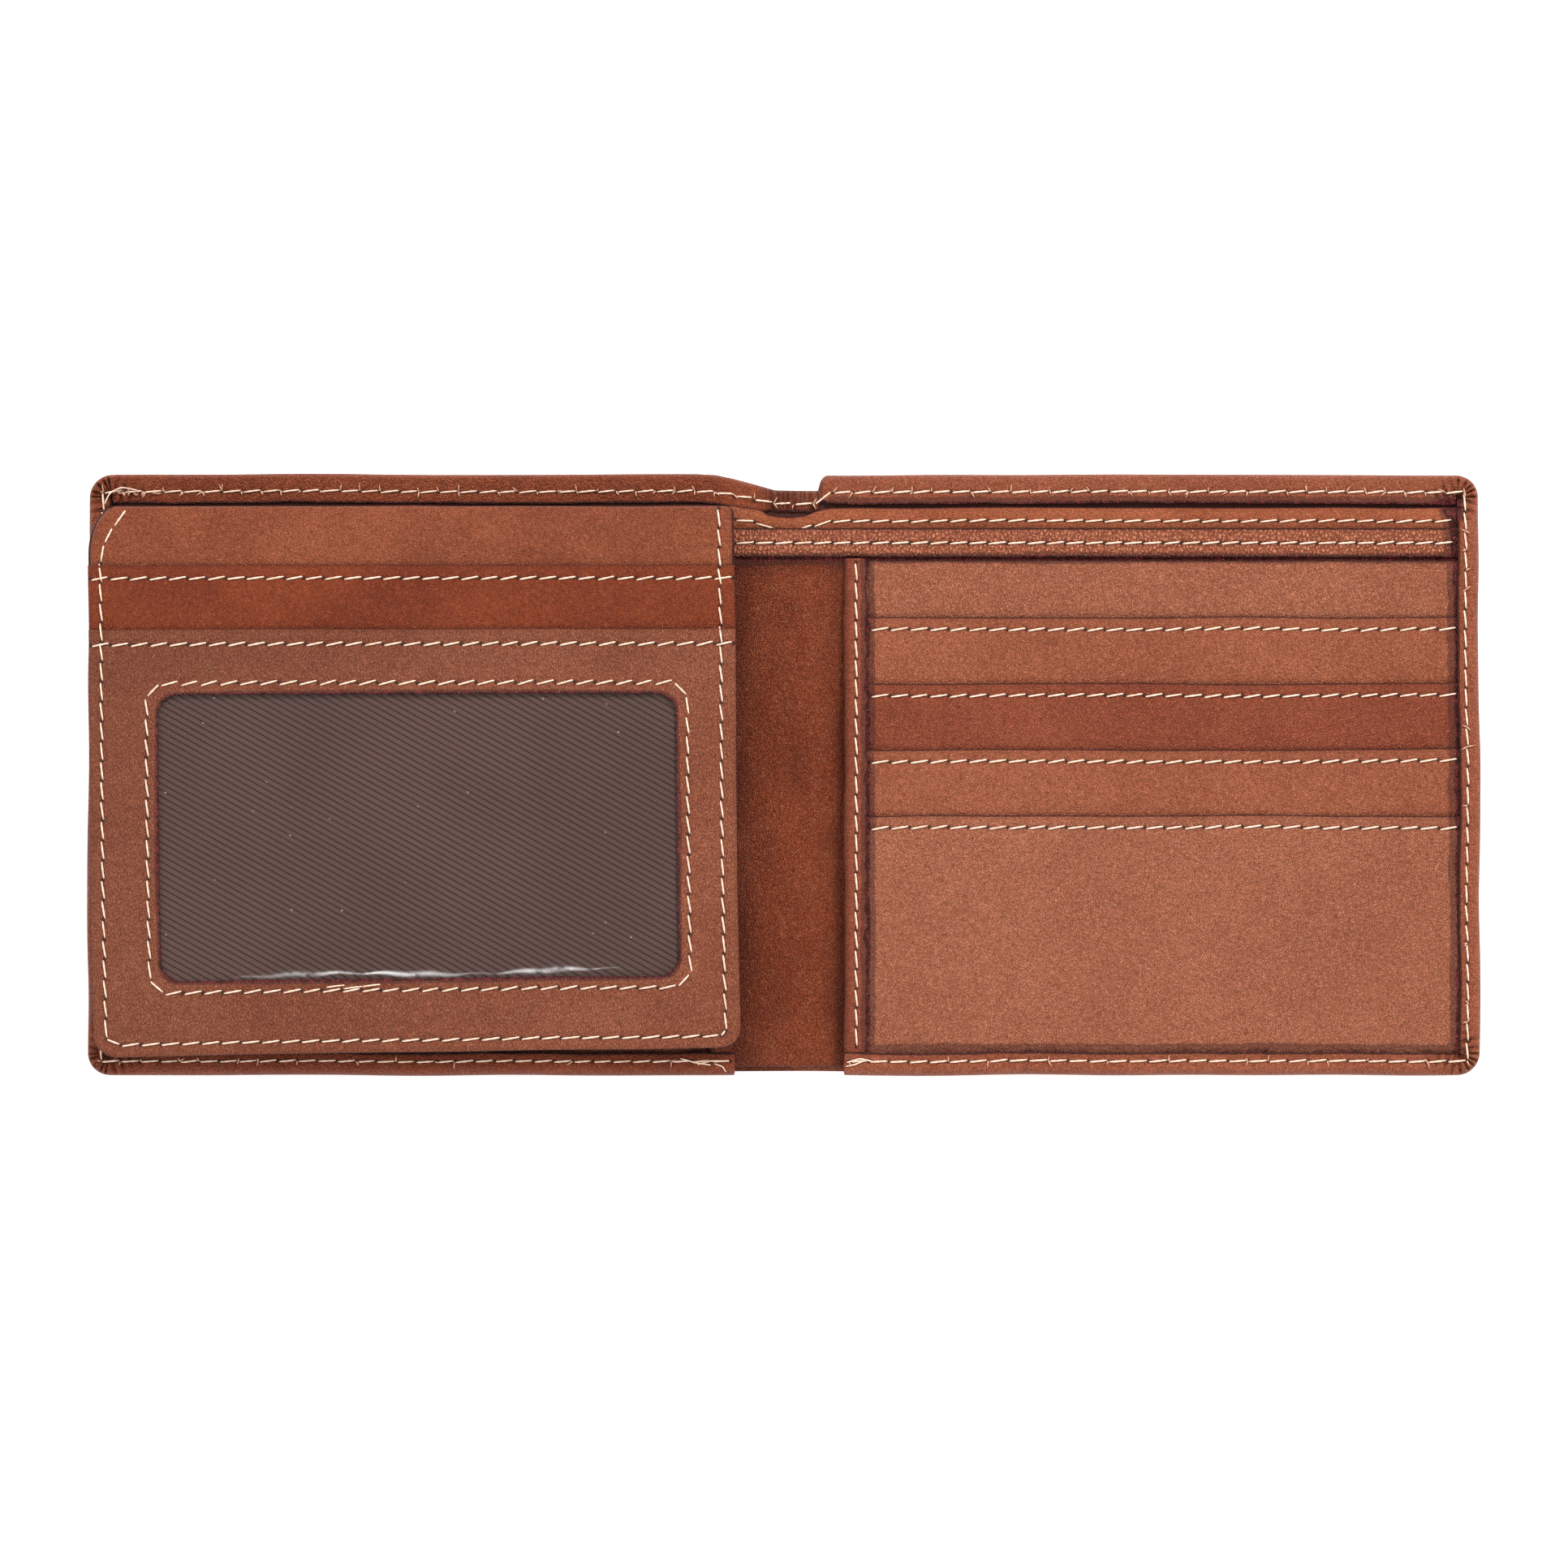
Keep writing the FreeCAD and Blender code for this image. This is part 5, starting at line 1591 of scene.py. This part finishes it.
def edge_thread(edge, base, slot_leaf, window):
    """The seam round the flap: its foot corners are cut across, and it turns in at the top left."""
    slot_top, leaf_top = slot_leaf.high[1], window.high[1]

    def face(x, y):
        """The flap's visible face at each row."""
        low = window.face(x, y)
        mid = slot_leaf.face(x, y)
        high = base.face(x, y)
        return np.where(y < leaf_top, low, np.where(y < slot_top, mid, high))

    thread = Thread(160)
    for key in ("left", "right", "foot"):
        thread.seam(edge[key], window, face)
    x_left, y_low = edge["left"].at, edge["left"].holes[0]
    thread.warped_stitch((x_left, y_low), (edge["foot"].holes[0], edge["foot"].at), window, face, 0.05)
    corner = (edge["foot"].holes[-1], edge["foot"].at)
    thread.warped_stitch(corner, (edge["right"].at, edge["right"].holes[0]), window, face, 0.05)
    turn = [(x_left, edge["left"].holes[-1])]
    turn += [(x_left + right, y) for right, y in ((0.6, 35.2), (2.0, 37.8), (4.2, 40.5))]
    for a, b in zip(turn, turn[1:]):
        thread.warped_stitch(a, b, window, face, 0.03)
        x, y = (float(v) for v in at(window.warped, b))
        thread.hole((x, y, float(base.face(x, y)) - 0.12), 0.8)
    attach(thread.build("flap_edge_stitches", "flap_edge_thread"), "flap")


def window_thread(round_window, window):
    """The window's seam, with the thread doubled and loose in one place at its foot."""
    thread = Thread(162)
    for seam in round_window.values():
        thread.seam(seam, window)
    tops, feet = round_window["top"], round_window["foot"]
    lefts, rights = round_window["left"], round_window["right"]
    for start, drop in ((-70.6, 0.25), (-68.0, 0.5), (-65.2, 0.2)):
        x, y = (float(v) for v in at(window.warped, (start, feet.at + 1.0 - drop)))
        z = float(window.face(x, y)) + 0.12
        path = [(x, y - 0.25, z - 0.1), (x + 1.3, y - 0.05, z + 0.05), (x + 2.7, y + 0.1, z - 0.1)]
        loose(thread, path, 0.85)
    corners = (
        ((lefts.at, lefts.holes[-1]), (tops.holes[0], tops.at)),
        ((tops.holes[-1], tops.at), (rights.at, rights.holes[-1])),
        ((rights.at, rights.holes[0]), (feet.holes[-1], feet.at)),
        ((feet.holes[0], feet.at), (lefts.at, lefts.holes[0])),
    )
    for a, b in corners:
        thread.warped_stitch(a, b, window, window.face, 0.03)
    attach(thread.build("window_stitches", "window_thread"), "flap")


def twill_ribs(x, y):
    """The slight relief of the twill."""
    across = y * math.cos(TWILL_TURN) - x * math.sin(TWILL_TURN)
    return 0.004 * np.sin(2 * math.pi * across / TWILL_PITCH)


def id_pocket():
    """The twill and the film behind the window."""
    low, high = span("id_pocket_backing")
    twill = Sheet(low[:2], high[:2], low[2], 0.13, roll=0.05, uneven=0.02, seed=421, extra=twill_ribs,
                  step=0.34, warp=lean)
    cloth_piece = twill.build("id_pocket_twill", [MATERIALS["twill"]])
    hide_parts("id_pocket_backing")
    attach(cloth_piece, "flap")
    low, high = span("id_window_film")
    sheet = Sheet(low[:2], high[:2], low[2], 0.05, roll=0.02, uneven=0.0, seed=422, extra=film_bulge,
                  step=0.8, warp=lean, marks=((), list(np.arange(-31.6, -28.6, 0.15))))
    film = sheet.build("id_window_clear_film", [MATERIALS["film"]])
    spots = np.empty(3 * len(film.data.vertices))
    film.data.vertices.foreach_get("co", spots)
    x, y = spots[0::3] / MM, spots[1::3] / MM
    shine = film.data.attributes.new("gleam", "FLOAT", "POINT")
    shine.data.foreach_set("value", film_gleam(x, y).astype(np.float32))
    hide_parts("id_window_film")
    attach(film, "flap")


def film_gleam(x, y):
    """Light caught along the film's low ridge beside the window's foot."""
    middle = -30.2 + 0.018 * (x + 50) + 0.25 * np.sin(x * 0.16) + 0.12 * np.sin(x * 0.9)
    width = 0.21 + 0.11 * np.sin(x * 0.33 + 1)
    along = np.clip((x + 84) / 8, 0, 1) * np.clip((-24 - x) / 12, 0, 1)
    return np.exp(-(((y - middle) / width) ** 2)) * along * (0.34 + 0.22 * np.sin(x * 0.21 + 2))


def film_bulge(x, y):
    """The film stands a little proud along the foot of the window."""
    ridge = np.exp(-(((y + 30.6 - 0.35 * np.sin(x * 0.11)) / 0.55) ** 2))
    along = np.exp(-(((x + 47.0) / 26.0) ** 4)) * (0.6 + 0.4 * np.sin(x * 0.5))
    return 0.02 + 0.035 * swell(x, y, 34.0, 430) + 0.16 * ridge * along


def hinge_strip():
    """A strip folded double: one leg is sewn to the left panel and the other to the flap's back."""
    low, high = span("flap_hinge_strip")
    gauge, bend_reach = 0.17, 0.3
    middle = (low[2] + high[2]) / 2
    half = (high[2] - low[2]) / 2
    centre = high[0] - bend_reach
    leg = np.linspace(low[0], centre, 12)
    outer = [(x, low[2]) for x in leg]
    inner = [(x, low[2] + gauge) for x in leg]
    # only the nose of the fold reaches the thin zone at the flap's hinge
    for share in (-0.9, -0.5, -0.25, -0.09, -0.05, 0, 0.05, 0.09, 0.25, 0.5, 0.9):
        reach = math.sqrt(1 - share * share)
        rise = half * share
        outer.append((centre + bend_reach * reach, middle + rise))
        inner_rise = max(gauge - half, min(half - gauge, rise))
        inner.append((centre + (bend_reach - gauge) * reach, middle + inner_rise))
    outer += [(x, high[2]) for x in leg[::-1]]
    inner += [(x, high[2] - gauge) for x in leg[::-1]]
    ring = outer + inner[::-1]
    count, last = len(ring), len(outer) - 1
    ys = np.linspace(low[1], high[1], 60)
    points = [(x, y, z) for y in ys for x, z in ring]
    faces = tube_faces(len(ys), count)
    far = (len(ys) - 1) * count
    for i in range(last):
        cap = [i, i + 1, count - 2 - i, count - 1 - i]
        faces.append(cap)
        faces.append([far + v for v in reversed(cap)])
    plain = {"rim": np.full(len(points), 2.0), "stain": np.full(len(points), FAR)}
    thing = mesh_object("flap_hinge_leather", points, faces, [MATERIALS["cover_left"]], plain)
    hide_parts("flap_hinge_strip")
    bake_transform(thing)


# ---------------------------------------------------------------- the scene

camera()
lights()
floor()
covers()
for side, name in ((-1, "left"), (1, "right")):
    trims(side, name)
    panel(side, name)
flap()
